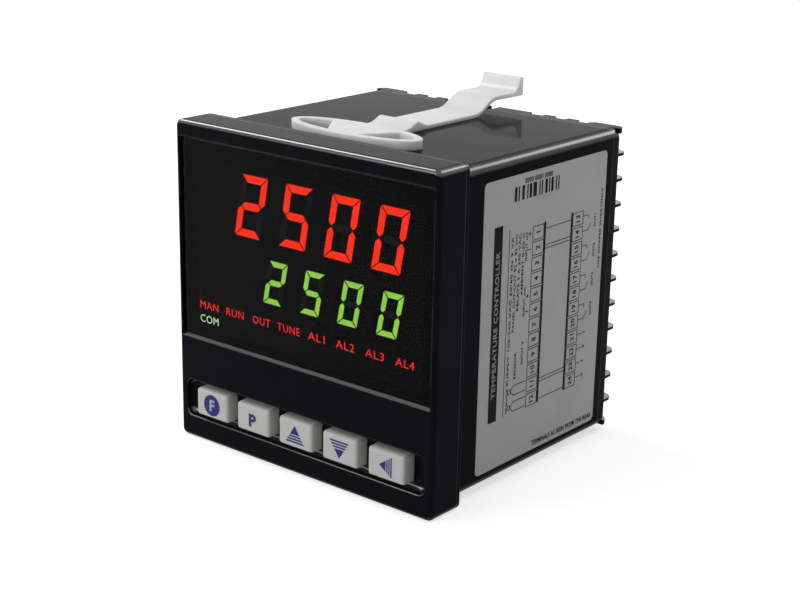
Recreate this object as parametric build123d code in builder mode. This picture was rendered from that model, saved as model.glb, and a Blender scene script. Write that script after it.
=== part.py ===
"""Quarter-size panel controller: draw-out front module, case, rear terminals and mounting clamp (mm)."""
import os

from build123d import *

# Overall sizes
face_size = 96.0            # square front bezel
face_overhang = 2.0         # bezel beyond the case, all round
body_corner = 3.0           # long edges of the case
face_corner = 2.0           # corners of the bezel seen from the front
bezel_depth = 11.1
flange_depth = 1.4          # case flange that lies on the panel
flange_round = 0.35
sleeve_length = 71.1        # case behind the flange, up to the rear moulding
block_depth = 2.9           # visible side of the rear moulding
wall = 1.8                  # case wall
sliding_gap = 0.3           # all round a piece that slides in another
seat_gap = 0.2              # between pieces fitted once
tolerance = 0.01            # for picking edges and faces by their place

# Front bezel
front_edge_round = 1.3
plate_depth = 4.0           # moulded front plate, window recess included
window_recess = 0.8
window_depth = 2.0
top_strip = 5.3             # plain strip above the window
window_foot = 2.6           # window below the light guide of the words
window_side_rim = 1.4
aperture_side = 6.0         # opening behind the window, from each side of the bezel
aperture_gap = 0.4          # round the displays in that opening
window_bevel = 0.7
recess_below = 1.6          # key recess below and above the keys
recess_above = 1.0
recess_side = 2.8
recess_depth = 2.4
recess_corner = 2.2
recess_lip = 0.45           # rounded rim of the recess
skirt_wall = 1.6            # skirt of the bezel inside the case
skirt_reach = 5.5           # how far it enters the case
bezel_wall = 2.4
seal_width = 1.5
seal_depth = 1.9
boss_radius = 2.6
pilot_radius = 1.15
boss_inset = 4.3            # screw bosses, from the inside of the skirt
boss_top_inset = 2.7
boss_drop = 7.3             # lower bosses, below the window

# Keys
key_count = 5
key_spacing = 3.6           # between neighbouring keys
key_end_gap = 5.5           # from the outer keys to the ends of the recess
key_height = 8.6
key_middle = 12.9
key_proud = 1.6             # key face in front of the bezel
key_round = 1.0
key_draft = 2.0             # degrees
key_gap = 0.3               # round each key in its hole
key_flange = 0.8            # retaining flange round each key
key_flange_depth = 1.0
key_post_radius = 2.0
key_travel = 0.8
key_guard = 0.3             # left between post and switch at full travel

# Displays
board_thickness = 1.6
front_board_depth = 10.8    # front face of the front board, from the bezel front
display_gap = 0.2           # between the window and the displays
red_height = 18.0
red_width = 9.9
red_stroke = 2.2
red_slant = 3.2
red_pitch = 16.85
red_left = -27.0
red_drop = 7.4              # below the top of the window
green_height = 12.7
green_width = 7.0
green_stroke = 1.6
green_slant = 2.6
green_pitch = 13.9
green_left = -16.1
row_gap = 5.1               # between the two rows of digits
segment_gap = 0.32
segment_depth = 1.2
display_margin = 1.4
display_side_margin = 2.6
reading = "2500"
word_count = 8              # lit words in the upper row; the second row has one
word_drop = 6.2             # from the lower digits to the middle of the words
second_drop = 4.2           # from the upper row of words to the second
word_end = 4.6              # from the ends of the light guide to the outer words
word_shift = -0.9           # the row of words sits left of the middle
guide_side_gap = 0.6        # light guide in its opening
guide_above = 2.9           # light guide above the upper words and below the second row
guide_below = 2.2
cell_height = 3.0
cell_wall = 3.9             # between neighbouring cells
lamp_size = (2.0, 1.2, 0.8)

# Boards and what they carry
board_side_gap = 0.5
tail_gap = 0.9              # from the contact tails to the side boards
board_end_gap = 1.1         # from the side boards to the rear moulding
guide_rib = 1.2
guide_rib_height = 4.2
guide_lead = 7.5            # guides behind the flange and before the end of the boards
screw_head_radius = 2.3
screw_head_height = 1.5
screw_radius = 1.1
screw_length = 5.5
header_section = 4.0
header_length = 56.0
relay_size = (15.5, 19.0, 11.0)     # depth, height and reach from the board
relay_pitch = 20.5
relay_drop = 9.5            # middle relay below the middle of the board
relay_end_gap = 13.5        # from the middle of the relays to the end of the board
relay_round = 0.8
relay_count = 3
core_size = (17.0, 20.0)
core_leg = 4.0
core_depth = 7.0
winding_radius = 6.0
transformer_place = (20.6, 18.0)    # behind the front board and above the middle
capacitor_radius = 6.3
capacitor_length = 12.0
capacitor_places = ((21.6, -26.0), (21.6, -10.0))
capacitor_round = 0.8
chip_sizes = ((14.0, 14.0), (6.0, 5.0), (6.0, 5.0))
chip_places = ((23.6, 4.0), (42.6, 18.0), (42.6, -14.0))
chip_thickness = 1.4
switch_size = 6.0
switch_height = 3.1
switch_plunger_radius = 1.6

# Rear moulding and terminals
plug_depth = 7.0            # part of the rear moulding inside the case
lip_reach = 3.0
lip_thickness = 1.6
lip_corner = 2.4
lip_length = 11.5           # from the side of the case
tooth_width = 3.8
tooth_pitch = 8.2
tooth_from_lip = 5.9        # middle of the outer tooth to the end of the lip
tooth_short = 0.9           # teeth end this much before the lips
land_half = 13.5
terminal_pitch = 7.62
fin_thickness = 0.9
fin_reach = 5.2
fin_corner = 3.0
fin_length = 22.0           # from the side of the case
pocket_side = 3.0           # from the side of the case to the pockets
pocket_length = 13.5
pocket_height = 4.7
pocket_depth = 1.5
terminal_side = 9.0         # from the side of the case to the screws
terminal_gap = 0.1          # round the metal in its pocket
contact_thickness = 0.8
clamp_plate_size = 4.4
clamp_plate_thickness = 0.9
terminal_head_radius = 2.2
terminal_head_height = 1.7
terminal_screw_radius = 1.3
terminal_screw_gap = 0.1
terminal_screw_length = 7.0
slot_width = 0.7
slot_depth = 0.7
tail_height = 2.6
tail_reach = 13.5           # contact tail in front of its plate
cover_wall = 2.0            # round the hollow behind the middle of the rear moulding

# Side label
label_front_margin = 9.0    # from the flange
label_rear_margin = 3.3     # from the rear moulding
label_low_margin = 3.8
label_high_margin = 5.3
label_corner = 1.5
label_thickness = 0.15

# Clamp track in the top and the bottom of the case
neck_width = 3.0
neck_depth = 1.5
head_width = 6.0
head_depth = 2.0
track_wall = 1.2
track_start = 19.5
rack_pitch = 2.0
rack_height = 0.5
rack_land = 0.1             # flat between neighbouring teeth

# Clamp
clamp_start = 15.0          # front of the loop, from the bezel front
loop_half_width = 23.0
loop_half_depth = 8.0
loop_height = 2.6
loop_band = 2.4
web_front_half = 4.5
web_rear_half = 13.0
strap_width = 14.0
strap_thickness = 1.2
strap_flat = 53.5           # flat run, from the front of the loop
ramp_run = 11.5
ramp_rise = 4.0
tail_run = 12.8
tab_height = 4.2
tab_thickness = 1.5
tab_sweep = 3.6
tab_relief = 0.2            # underside falls this much towards the tab
sweep_top = (-0.25, -1)     # direction of the tab's hollow at its crest
sweep_low = (-1, -0.1)      # and at its foot
hump_middle = 27.0          # cross rib on the strap, from the front of the loop
hump_half = 5.5
hump_height = 1.6
runner_start = 12.0
runner_length = 38.0
runner_lift = 0.25          # runner head below the track's neck

# Derived sizes and places; depths are measured rearward from the bezel front
body_size = face_size - 2 * face_overhang
middle = face_size / 2
half_body = body_size / 2
body_top = middle + half_body
body_bottom = middle - half_body
inner_size = body_size - 2 * wall
seat_depth = bezel_depth + flange_depth
sleeve_end = seat_depth + sleeve_length
rear_depth = sleeve_end + block_depth
display_depth = window_recess + window_depth + display_gap
skirt_size = inner_size - 2 * sliding_gap
clear_size = skirt_size - 2 * skirt_wall
skirt_end = bezel_depth + skirt_reach
recess_floor = plate_depth - recess_depth
tab_end = clamp_start + strap_flat + ramp_run + tail_run
front_y = key_proud - (key_proud + tab_end) / 2

# Window and displays, from the top down
window_top = face_size - top_strip
red_bottom = window_top - red_drop - red_height
green_bottom = red_bottom - row_gap - green_height
word_row = green_bottom - word_drop
second_row = word_row - second_drop
guide_top = word_row + guide_above
guide_bottom = second_row - guide_below
window_bottom = guide_bottom - window_foot
aperture_top = red_bottom + red_height + display_margin + aperture_gap
aperture_bottom = guide_bottom - aperture_gap
guide_half = face_size / 2 - aperture_side - guide_side_gap
word_pitch = 2 * (guide_half - word_end) / (word_count - 1)
word_first = word_end + word_shift - guide_half
cell_width = word_pitch - cell_wall

# Keys share the recess between them
recess_width = face_size - 2 * recess_side
recess_bottom = key_middle - key_height / 2 - recess_below
recess_top = key_middle + key_height / 2 + recess_above
key_width = (recess_width - 2 * key_end_gap - (key_count - 1) * key_spacing) / key_count
key_pitch = key_width + key_spacing

# Rear moulding, terminals and boards
lip_inner_end = half_body - lip_length
fin_inner_end = half_body - fin_length
fin_count = int(body_size // terminal_pitch) - 1
pocket_outer = half_body - pocket_side
pocket_inner = pocket_outer - pocket_length
terminal_middle = half_body - terminal_side
floor_depth = rear_depth - pocket_depth
terminal_top = floor_depth + contact_thickness + clamp_plate_thickness
track_drop = neck_depth + head_depth + track_wall - wall
board_back = front_board_depth + board_thickness
tail_outside = pocket_inner + terminal_gap + contact_thickness
side_board_middle = tail_outside + tail_gap + board_thickness / 2
side_board_reach = sleeve_end - plug_depth - board_end_gap
label_front = seat_depth + label_front_margin
label_rear = sleeve_end - label_rear_margin
label_bottom = body_bottom + label_low_margin
label_top = body_top - label_high_margin


def at_depth(depth):
    """Upright plane at a depth: sketch x is X, sketch y is Z, a negative extrusion runs rearward."""
    return Plane(origin=(0, front_y + depth, 0), x_dir=(1, 0, 0), z_dir=(0, -1, 0))


def at_side(x):
    """Upright plane at x: sketch x is the depth, sketch y is Z, a positive extrusion runs to +X."""
    return Plane(origin=(x, front_y, 0), x_dir=(0, 1, 0), z_dir=(1, 0, 0))


def at_height(z):
    """Level plane at a height: sketch x is X, sketch y is the depth."""
    return Plane(origin=(0, front_y, z), x_dir=(1, 0, 0), z_dir=(0, 0, 1))


def terminal_places():
    """Centres (x, z) of the two columns of terminals."""
    rows = fin_count + 1
    return [
        (side * terminal_middle, middle + terminal_pitch * (row - (rows - 1) / 2))
        for side in (-1, 1)
        for row in range(rows)
    ]


def key_place(index):
    """Centre (x, z) of a key, counted from the left."""
    return (key_pitch * (index - (key_count - 1) / 2), key_middle)


def write(part, label):
    """Name a finished piece and save it."""
    part.label = label
    export_step(part, f"parts/{label}.step")


os.makedirs("parts", exist_ok=True)

# Case: flange, square sleeve, clamp tracks above and below, guides for the side boards
with BuildPart() as case_sleeve:
    with BuildSketch(at_depth(bezel_depth)):
        with Locations((0, middle)):
            RectangleRounded(face_size, face_size, face_corner)
    extrude(amount=-flange_depth)
    fillet(case_sleeve.faces().sort_by(Axis.Y)[-1].edges(), radius=flange_round)
    with BuildSketch(at_depth(seat_depth)):
        with Locations((0, middle)):
            RectangleRounded(body_size, body_size, body_corner)
    extrude(amount=-sleeve_length)
    with BuildSketch(at_depth(bezel_depth)):
        with Locations((0, middle)):
            RectangleRounded(inner_size, inner_size, body_corner - wall)
    extrude(amount=-(flange_depth + sleeve_length), mode=Mode.SUBTRACT)
    track_depth = wall + track_drop
    with BuildSketch(at_depth(track_start - track_wall)):
        with Locations((0, body_top - track_depth / 2), (0, body_bottom + track_depth / 2)):
            Rectangle(head_width + 2 * track_wall, track_depth)
    extrude(amount=-(sleeve_end - track_start + track_wall))
    with BuildSketch(at_depth(seat_depth + guide_lead)):
        for side in (-1, 1):
            for edge in (-1, 1):
                offset_x = edge * (board_thickness / 2 + seat_gap + guide_rib / 2)
                for end in (-1, 1):
                    rib_middle = middle + end * (inner_size / 2 - guide_rib_height / 2)
                    with Locations((side * side_board_middle + offset_x, rib_middle)):
                        Rectangle(guide_rib, guide_rib_height)
    extrude(amount=-(side_board_reach - seat_depth - 2 * guide_lead))
    with BuildSketch(at_depth(track_start)):
        for end in (-1, 1):
            with Locations((0, middle + end * (half_body - neck_depth / 2))):
                Rectangle(neck_width, neck_depth)
            with Locations((0, middle + end * (half_body - neck_depth - head_depth / 2))):
                Rectangle(head_width, head_depth)
    extrude(amount=-(sleeve_end - track_start), mode=Mode.SUBTRACT)
    rack_teeth = int((sleeve_end - track_start) / rack_pitch)
    for end in (-1, 1):
        floor = middle + end * (half_body - neck_depth - head_depth)
        with BuildSketch(at_side(-head_width / 2)):
            for tooth in range(rack_teeth):
                foot = track_start + tooth * rack_pitch
                with BuildLine():
                    Polyline(
                        (foot, floor),
                        (foot, floor + end * rack_height),
                        (foot + rack_pitch - rack_land, floor),
                        close=True,
                    )
                make_face()
        extrude(amount=head_width)
write(case_sleeve.part, "case_sleeve")

# Rear moulding: face, plug inside the case, terminal pockets, fins and notched lips
with BuildPart() as rear_terminal_block:
    with BuildSketch(at_depth(sleeve_end)):
        with Locations((0, middle)):
            RectangleRounded(body_size, body_size, body_corner)
    extrude(amount=-block_depth)
    plug_size = inner_size - 2 * seat_gap
    with BuildSketch(at_depth(sleeve_end - plug_depth)):
        with Locations((0, middle)):
            RectangleRounded(plug_size, plug_size, body_corner - wall)
    extrude(amount=-plug_depth)
    with BuildSketch(at_depth(sleeve_end - plug_depth)):
        with Locations((0, middle)):
            Rectangle(2 * fin_inner_end, plug_size - 2 * (track_drop + 2 * cover_wall))
    extrude(amount=-(plug_depth + block_depth - cover_wall), mode=Mode.SUBTRACT)
    notch_depth = track_drop + seat_gap
    with BuildSketch(at_depth(sleeve_end - plug_depth)):
        for end in (-1, 1):
            with Locations((0, middle + end * (inner_size - notch_depth) / 2)):
                Rectangle(head_width + 2 * track_wall + 2 * seat_gap, notch_depth)
    extrude(amount=-plug_depth, mode=Mode.SUBTRACT)
    for end in (-1, 1):
        with BuildSketch(at_depth(rear_depth)):
            for side in (-1, 1):
                with Locations(
                    (side * (lip_inner_end + lip_length / 2),
                     middle + end * (half_body - lip_thickness / 2))
                ):
                    Rectangle(lip_length, lip_thickness)
        extrude(amount=-lip_reach)
        with BuildSketch(at_depth(rear_depth)):
            with Locations((0, middle + end * (half_body - lip_thickness / 2))):
                Rectangle(2 * land_half, lip_thickness)
                for tooth in range(2):
                    tooth_x = lip_inner_end - tooth_from_lip - tooth * tooth_pitch
                    for side in (-1, 1):
                        with Locations((side * tooth_x, 0)):
                            Rectangle(tooth_width, lip_thickness)
        extrude(amount=-(lip_reach - tooth_short))
    lip_end = front_y + rear_depth + lip_reach
    lip_ends = (
        rear_terminal_block.edges()
        .filter_by(Axis.Z)
        .filter_by(lambda edge: abs(edge.center().Y - lip_end) < tolerance)
    )
    fillet(lip_ends, radius=lip_corner)
    with BuildSketch(at_depth(floor_depth)):
        for x, z in terminal_places():
            pocket_x = (pocket_inner + pocket_length / 2) * (1 if x > 0 else -1)
            with Locations((pocket_x, z)):
                Rectangle(pocket_length, pocket_height)
    extrude(amount=-pocket_depth, mode=Mode.SUBTRACT)
    with BuildSketch(at_depth(rear_depth)):
        with Locations((0, middle)):
            with GridLocations(half_body + fin_inner_end, terminal_pitch, 2, fin_count):
                Rectangle(fin_length, fin_thickness)
    extrude(amount=-fin_reach)
    fin_end = front_y + rear_depth + fin_reach
    fin_ends = (
        rear_terminal_block.edges()
        .filter_by(Axis.Z)
        .filter_by(lambda edge: abs(edge.center().Y - fin_end) < tolerance)
        .filter_by(lambda edge: abs(edge.center().X) > half_body - tolerance)
    )
    fillet(fin_ends, radius=fin_corner)
    with BuildSketch(at_depth(rear_depth)):
        with Locations(terminal_places()):
            Circle(terminal_screw_radius + terminal_screw_gap)
    screw_hole = terminal_screw_length + rear_depth - terminal_top + terminal_gap
    extrude(amount=screw_hole, mode=Mode.SUBTRACT)
    with BuildSketch(at_depth(sleeve_end - plug_depth)):
        for x, z in terminal_places():
            tail_x = (pocket_inner + terminal_gap + contact_thickness / 2) * (1 if x > 0 else -1)
            with Locations((tail_x, z)):
                Rectangle(contact_thickness + 2 * terminal_gap, tail_height + 2 * terminal_gap)
    extrude(amount=-(plug_depth + block_depth), mode=Mode.SUBTRACT)
    with BuildSketch(at_depth(sleeve_end)):
        for end in (-1, 1):
            with Locations((0, middle + end * (half_body - neck_depth / 2))):
                Rectangle(neck_width, neck_depth)
            with Locations((0, middle + end * (half_body - neck_depth - head_depth / 2))):
                Rectangle(head_width, head_depth)
            with Locations((0, middle + end * (half_body - lip_thickness / 2))):
                Rectangle(neck_width, lip_thickness)
    extrude(amount=-(block_depth + lip_reach), mode=Mode.SUBTRACT)
write(rear_terminal_block.part, "rear_terminal_block")

# Contacts: plate on the pocket floor, tail bent forward towards the board
with BuildPart() as terminal_contacts:
    plate_left = pocket_inner + terminal_gap
    plate_right = pocket_outer - terminal_gap
    plate_middle = (plate_left + plate_right) / 2
    with BuildSketch(at_depth(floor_depth)):
        for x, z in terminal_places():
            with Locations((plate_middle * (1 if x > 0 else -1), z)):
                Rectangle(plate_right - plate_left, pocket_height - 2 * terminal_gap)
            with Locations((x, z)):
                Circle(terminal_screw_radius + terminal_screw_gap, mode=Mode.SUBTRACT)
    extrude(amount=-contact_thickness)
    with BuildSketch(at_depth(floor_depth)):
        for x, z in terminal_places():
            with Locations(((plate_left + contact_thickness / 2) * (1 if x > 0 else -1), z)):
                Rectangle(contact_thickness, tail_height)
    extrude(amount=tail_reach)
write(terminal_contacts.part, "terminal_contacts")

# Square plates that hold the wires under the screw heads
with BuildPart() as terminal_clamps:
    with BuildSketch(at_depth(floor_depth + contact_thickness)):
        with Locations(terminal_places()):
            Rectangle(clamp_plate_size, clamp_plate_size)
        with Locations(terminal_places()):
            Circle(terminal_screw_radius + terminal_screw_gap, mode=Mode.SUBTRACT)
    extrude(amount=-clamp_plate_thickness)
write(terminal_clamps.part, "terminal_clamps")

# Slotted terminal screws
with BuildPart() as terminal_screws:
    with BuildSketch(at_depth(terminal_top)):
        with Locations(terminal_places()):
            Circle(terminal_head_radius)
    extrude(amount=-terminal_head_height)
    with BuildSketch(at_depth(terminal_top)):
        with Locations(terminal_places()):
            Circle(terminal_screw_radius)
    extrude(amount=terminal_screw_length)
    with BuildSketch(at_depth(terminal_top + terminal_head_height)):
        with Locations(terminal_places()):
            Rectangle(2 * terminal_head_radius, slot_width)
    extrude(amount=slot_depth, mode=Mode.SUBTRACT)
write(terminal_screws.part, "terminal_screws")

# Label on the right side of the case
with BuildPart() as side_label:
    with BuildSketch(at_side(half_body)):
        with Locations(((label_front + label_rear) / 2, (label_bottom + label_top) / 2)):
            RectangleRounded(label_rear - label_front, label_top - label_bottom, label_corner)
    extrude(amount=label_thickness)
write(side_label.part, "side_label")

# Front bezel: square shell, window pocket, key recess, skirt that enters the case, screw bosses
with BuildPart() as front_bezel:
    with BuildSketch(at_depth(0)):
        with Locations((0, middle)):
            RectangleRounded(face_size, face_size, face_corner)
    extrude(amount=-bezel_depth)
    fillet(front_bezel.faces().sort_by(Axis.Y)[0].edges(), radius=front_edge_round)
    cavity_size = face_size - 2 * bezel_wall
    with BuildSketch(at_depth(plate_depth)):
        with Locations((0, middle)):
            RectangleRounded(cavity_size, cavity_size, face_corner)
    extrude(amount=-(bezel_depth - plate_depth), mode=Mode.SUBTRACT)
    with BuildSketch(at_depth(plate_depth)):
        with Locations((0, middle)):
            RectangleRounded(skirt_size, skirt_size, face_corner)
            RectangleRounded(clear_size, clear_size, face_corner, mode=Mode.SUBTRACT)
    extrude(amount=-(skirt_end - plate_depth))
    boss_side = clear_size / 2 - boss_inset
    boss_heights = (window_bottom - boss_drop, middle + clear_size / 2 - boss_top_inset)
    bosses = [(side * boss_side, z) for side in (-1, 1) for z in boss_heights]
    with BuildSketch(at_depth(plate_depth)):
        with Locations(bosses):
            Circle(boss_radius)
    extrude(amount=-(front_board_depth - plate_depth))
    with BuildSketch(at_depth(front_board_depth)):
        with Locations(bosses):
            Circle(pilot_radius)
    extrude(amount=front_board_depth - plate_depth, mode=Mode.SUBTRACT)
    window_height = window_top - window_bottom
    with BuildSketch(at_depth(0)):
        with Locations((0, (window_top + window_bottom) / 2)):
            Rectangle(face_size - 2 * window_side_rim, window_height)
    extrude(amount=-(window_recess + window_depth), mode=Mode.SUBTRACT)
    with BuildSketch(at_depth(0)):
        with Locations((0, (aperture_top + aperture_bottom) / 2)):
            Rectangle(face_size - 2 * aperture_side, aperture_top - aperture_bottom)
    extrude(amount=-plate_depth, mode=Mode.SUBTRACT)
    bevel_edges = (
        front_bezel.edges()
        .filter_by(Axis.X)
        .filter_by(lambda edge: abs(edge.center().Y - front_y) < tolerance)
        .filter_by(
            lambda edge: abs(edge.center().Z - window_top) < tolerance
            or abs(edge.center().Z - window_bottom) < tolerance
        )
    )
    chamfer(bevel_edges, length=window_bevel)
    with BuildSketch(at_depth(0)):
        with Locations((0, (recess_top + recess_bottom) / 2)):
            RectangleRounded(recess_width, recess_top - recess_bottom, recess_corner)
    extrude(amount=-recess_depth, mode=Mode.SUBTRACT)
    recess_edges = (
        front_bezel.faces()
        .filter_by(Axis.Y)
        .filter_by(lambda face: abs(face.center().Y - front_y - recess_depth) < tolerance)
        .edges()
    )
    fillet(recess_edges, radius=recess_floor)
    recess_rim = (
        front_bezel.edges()
        .filter_by(lambda edge: abs(edge.center().Y - front_y) < tolerance)
        .filter_by(lambda edge: recess_bottom - tolerance < edge.center().Z < recess_top + tolerance)
        .filter_by(lambda edge: abs(edge.center().X) < recess_width / 2 + tolerance)
    )
    fillet(recess_rim, radius=recess_lip)
    with BuildSketch(at_depth(0)):
        with Locations([key_place(index) for index in range(key_count)]):
            RectangleRounded(key_width + 2 * key_gap, key_height + 2 * key_gap, key_round)
    extrude(amount=-plate_depth, mode=Mode.SUBTRACT)
write(front_bezel.part, "front_bezel")

# Seal stretched round the skirt, pressed by the case flange
with BuildPart() as front_seal:
    with BuildSketch(at_depth(bezel_depth - seal_depth)):
        with Locations((0, middle)):
            seal_size = skirt_size + 2 * seal_width
            RectangleRounded(seal_size, seal_size, face_corner + seal_width)
            RectangleRounded(skirt_size, skirt_size, face_corner, mode=Mode.SUBTRACT)
    extrude(amount=-seal_depth)
write(front_seal.part, "front_seal")

# Smoked window in its pocket
with BuildPart() as display_window:
    with BuildSketch(at_depth(window_recess)):
        with Locations((0, (window_top + window_bottom) / 2)):
            Rectangle(face_size - 2 * window_side_rim, window_height)
    extrude(amount=-window_depth)
write(display_window.part, "display_window")


def segment_outlines(left, bottom, width, height, stroke, slant):
    """Corner points of the seven slanted segments a to g of one digit, mitred at its corners."""
    half = stroke / 2
    gap = segment_gap / 2**0.5
    waist = height / 2
    long_end, short_end = width / 2 - gap, width / 2 - gap - stroke
    outlines = {
        "g": [
            (half + gap - width / 2, 0), (-short_end, half), (short_end, half),
            (width / 2 - half - gap, 0), (short_end, -half), (-short_end, -half),
        ]
    }
    for name, end in (("a", 1), ("d", -1)):
        outlines[name] = [
            (-long_end, end * waist), (long_end, end * waist),
            (short_end, end * (waist - stroke)), (-short_end, end * (waist - stroke)),
        ]
    for name, side, end in (("b", 1, 1), ("c", 1, -1), ("e", -1, -1), ("f", -1, 1)):
        outlines[name] = [
            (side * width / 2, end * (waist - gap)),
            (side * width / 2, end * (half + gap)),
            (side * (width / 2 - half), end * gap),
            (side * (width / 2 - stroke), end * (half + gap)),
            (side * (width / 2 - stroke), end * (waist - stroke - gap)),
        ]
    return {
        name: [
            (left + width / 2 + x + slant * (z + waist) / height, bottom + waist + z)
            for x, z in points
        ]
        for name, points in outlines.items()
    }


LIT_SEGMENTS = {"2": "abged", "5": "afgcd", "0": "abcdef"}


def display_outlines(left, bottom, width, height, stroke, slant, pitch):
    """Outlines of the lit and of the unlit segments of a display that shows the reading."""
    lit, unlit = [], []
    for index, digit in enumerate(reading):
        outlines = segment_outlines(left + index * pitch, bottom, width, height, stroke, slant)
        for name, points in outlines.items():
            (lit if name in LIT_SEGMENTS[digit] else unlit).append(points)
    return lit, unlit


def add_outlines(outlines):
    """Draw closed outlines as faces of the sketch in work."""
    for points in outlines:
        Polygon(*points, align=None)


displays = {
    "upper_display_case": (
        red_left, red_bottom, red_width, red_height, red_stroke, red_slant, red_pitch, "red"
    ),
    "lower_display_case": (
        green_left, green_bottom, green_width, green_height, green_stroke, green_slant,
        green_pitch, "green",
    ),
}
for case_name, (left, bottom, width, height, stroke, slant, pitch, colour) in displays.items():
    lit, unlit = display_outlines(left, bottom, width, height, stroke, slant, pitch)
    case_left = left - display_side_margin
    case_right = left + (len(reading) - 1) * pitch + width + slant + display_side_margin
    with BuildPart() as display_case:
        with BuildSketch(at_depth(display_depth)):
            with Locations(((case_left + case_right) / 2, bottom + height / 2)):
                Rectangle(case_right - case_left, height + 2 * display_margin)
        extrude(amount=-(front_board_depth - display_depth))
        with BuildSketch(at_depth(display_depth)):
            add_outlines(lit + unlit)
        extrude(amount=-segment_depth, mode=Mode.SUBTRACT)
    write(display_case.part, case_name)
    for outlines, state in ((lit, "lit"), (unlit, "off")):
        with BuildPart() as segments:
            with BuildSketch(at_depth(display_depth)):
                add_outlines(outlines)
            extrude(amount=-segment_depth)
        write(segments.part, f"{colour}_segments_{state}")

# Cells behind the lit words, with a lamp in each
word_cells = [(word_first + word_pitch * index, word_row) for index in range(word_count)]
word_cells.append((word_first, second_row))
with BuildPart() as indicator_light_guide:
    with BuildSketch(at_depth(display_depth)):
        with Locations((0, (guide_top + guide_bottom) / 2)):
            Rectangle(2 * guide_half, guide_top - guide_bottom)
        with Locations(word_cells):
            Rectangle(cell_width, cell_height, mode=Mode.SUBTRACT)
    extrude(amount=-(front_board_depth - display_depth))
write(indicator_light_guide.part, "indicator_light_guide")

with BuildPart() as indicator_lamps:
    with BuildSketch(at_depth(front_board_depth)):
        with Locations(word_cells):
            Rectangle(lamp_size[0], lamp_size[1])
    extrude(amount=lamp_size[2])
write(indicator_lamps.part, "indicator_lamps")

# Front board and what it carries
board_size = clear_size - 2 * board_side_gap
with BuildPart() as front_board:
    with BuildSketch(at_depth(front_board_depth)):
        with Locations((0, middle)):
            RectangleRounded(board_size, board_size, face_corner)
        with Locations(bosses):
            Circle(screw_radius + seat_gap, mode=Mode.SUBTRACT)
    extrude(amount=-board_thickness)
write(front_board.part, "front_board")

with BuildPart() as board_screws:
    with BuildSketch(at_depth(board_back)):
        with Locations(bosses):
            Circle(screw_head_radius)
    extrude(amount=-screw_head_height)
    with BuildSketch(at_depth(board_back)):
        with Locations(bosses):
            Circle(screw_radius)
    extrude(amount=screw_length)
write(board_screws.part, "board_screws")

switch_body = switch_height - key_travel
plunger_depth = front_board_depth - switch_height
with BuildPart() as key_switches:
    with BuildSketch(at_depth(front_board_depth)):
        with Locations([key_place(index) for index in range(key_count)]):
            Rectangle(switch_size, switch_size)
    extrude(amount=switch_body)
    with BuildSketch(at_depth(front_board_depth)):
        with Locations([key_place(index) for index in range(key_count)]):
            Circle(switch_plunger_radius)
    extrude(amount=switch_height)
write(key_switches.part, "key_switches")

for board_name, side in (("main_board", -1), ("power_board", 1)):
    with BuildPart() as side_board:
        with BuildSketch(at_depth(board_back)):
            with Locations((side * side_board_middle, middle)):
                Rectangle(board_thickness, board_size)
        extrude(amount=-(side_board_reach - board_back))
    write(side_board.part, board_name)

inner_face = side_board_middle - board_thickness / 2
with BuildPart() as board_headers:
    with BuildSketch(at_depth(board_back)):
        for side in (-1, 1):
            with Locations((side * (inner_face - header_section / 2), middle)):
                Rectangle(header_section, header_length)
    extrude(amount=-header_section)
write(board_headers.part, "board_headers")

# Relays, supply transformer and capacitors on the inner face of the power board
with BuildPart() as relays:
    with BuildSketch(at_side(inner_face)):
        with Locations((side_board_reach - relay_end_gap, middle - relay_drop)):
            with GridLocations(1, relay_pitch, 1, relay_count):
                Rectangle(relay_size[0], relay_size[1])
    extrude(amount=-relay_size[2])
    fillet(relays.faces().sort_by(Axis.X)[:relay_count].edges(), radius=relay_round)
write(relays.part, "relays")

transformer_depth = board_back + transformer_place[0]
transformer_height = middle + transformer_place[1]
with BuildPart() as supply_transformer:
    with BuildSketch(at_side(inner_face)):
        with Locations((transformer_depth, transformer_height)):
            Rectangle(core_size[0], core_size[1])
            Rectangle(
                core_size[0] - 2 * core_leg, core_size[1] - 2 * core_leg, mode=Mode.SUBTRACT
            )
    extrude(amount=-2 * core_depth)
    core_middle_x = inner_face - core_depth
    winding_plane = Plane(
        origin=(core_middle_x, front_y + transformer_depth, transformer_height),
        x_dir=(1, 0, 0), z_dir=(0, 0, 1),
    )
    with BuildSketch(winding_plane):
        Circle(winding_radius)
    extrude(amount=(core_size[1] - core_leg) / 2, both=True)
write(supply_transformer.part, "supply_transformer")

with BuildPart() as supply_capacitors:
    with BuildSketch(at_side(inner_face)):
        with Locations([(board_back + depth, middle + z) for depth, z in capacitor_places]):
            Circle(capacitor_radius)
    extrude(amount=-capacitor_length)
    can_ends = supply_capacitors.faces().sort_by(Axis.X)[: len(capacitor_places)]
    fillet(can_ends.edges(), radius=capacitor_round)
write(supply_capacitors.part, "supply_capacitors")

# Chips on the inner face of the main board
with BuildPart() as controller_chips:
    with BuildSketch(at_side(-inner_face)):
        for size, (depth, z) in zip(chip_sizes, chip_places):
            with Locations((board_back + depth, middle + z)):
                Rectangle(*size)
    extrude(amount=chip_thickness)
write(controller_chips.part, "controller_chips")

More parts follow.
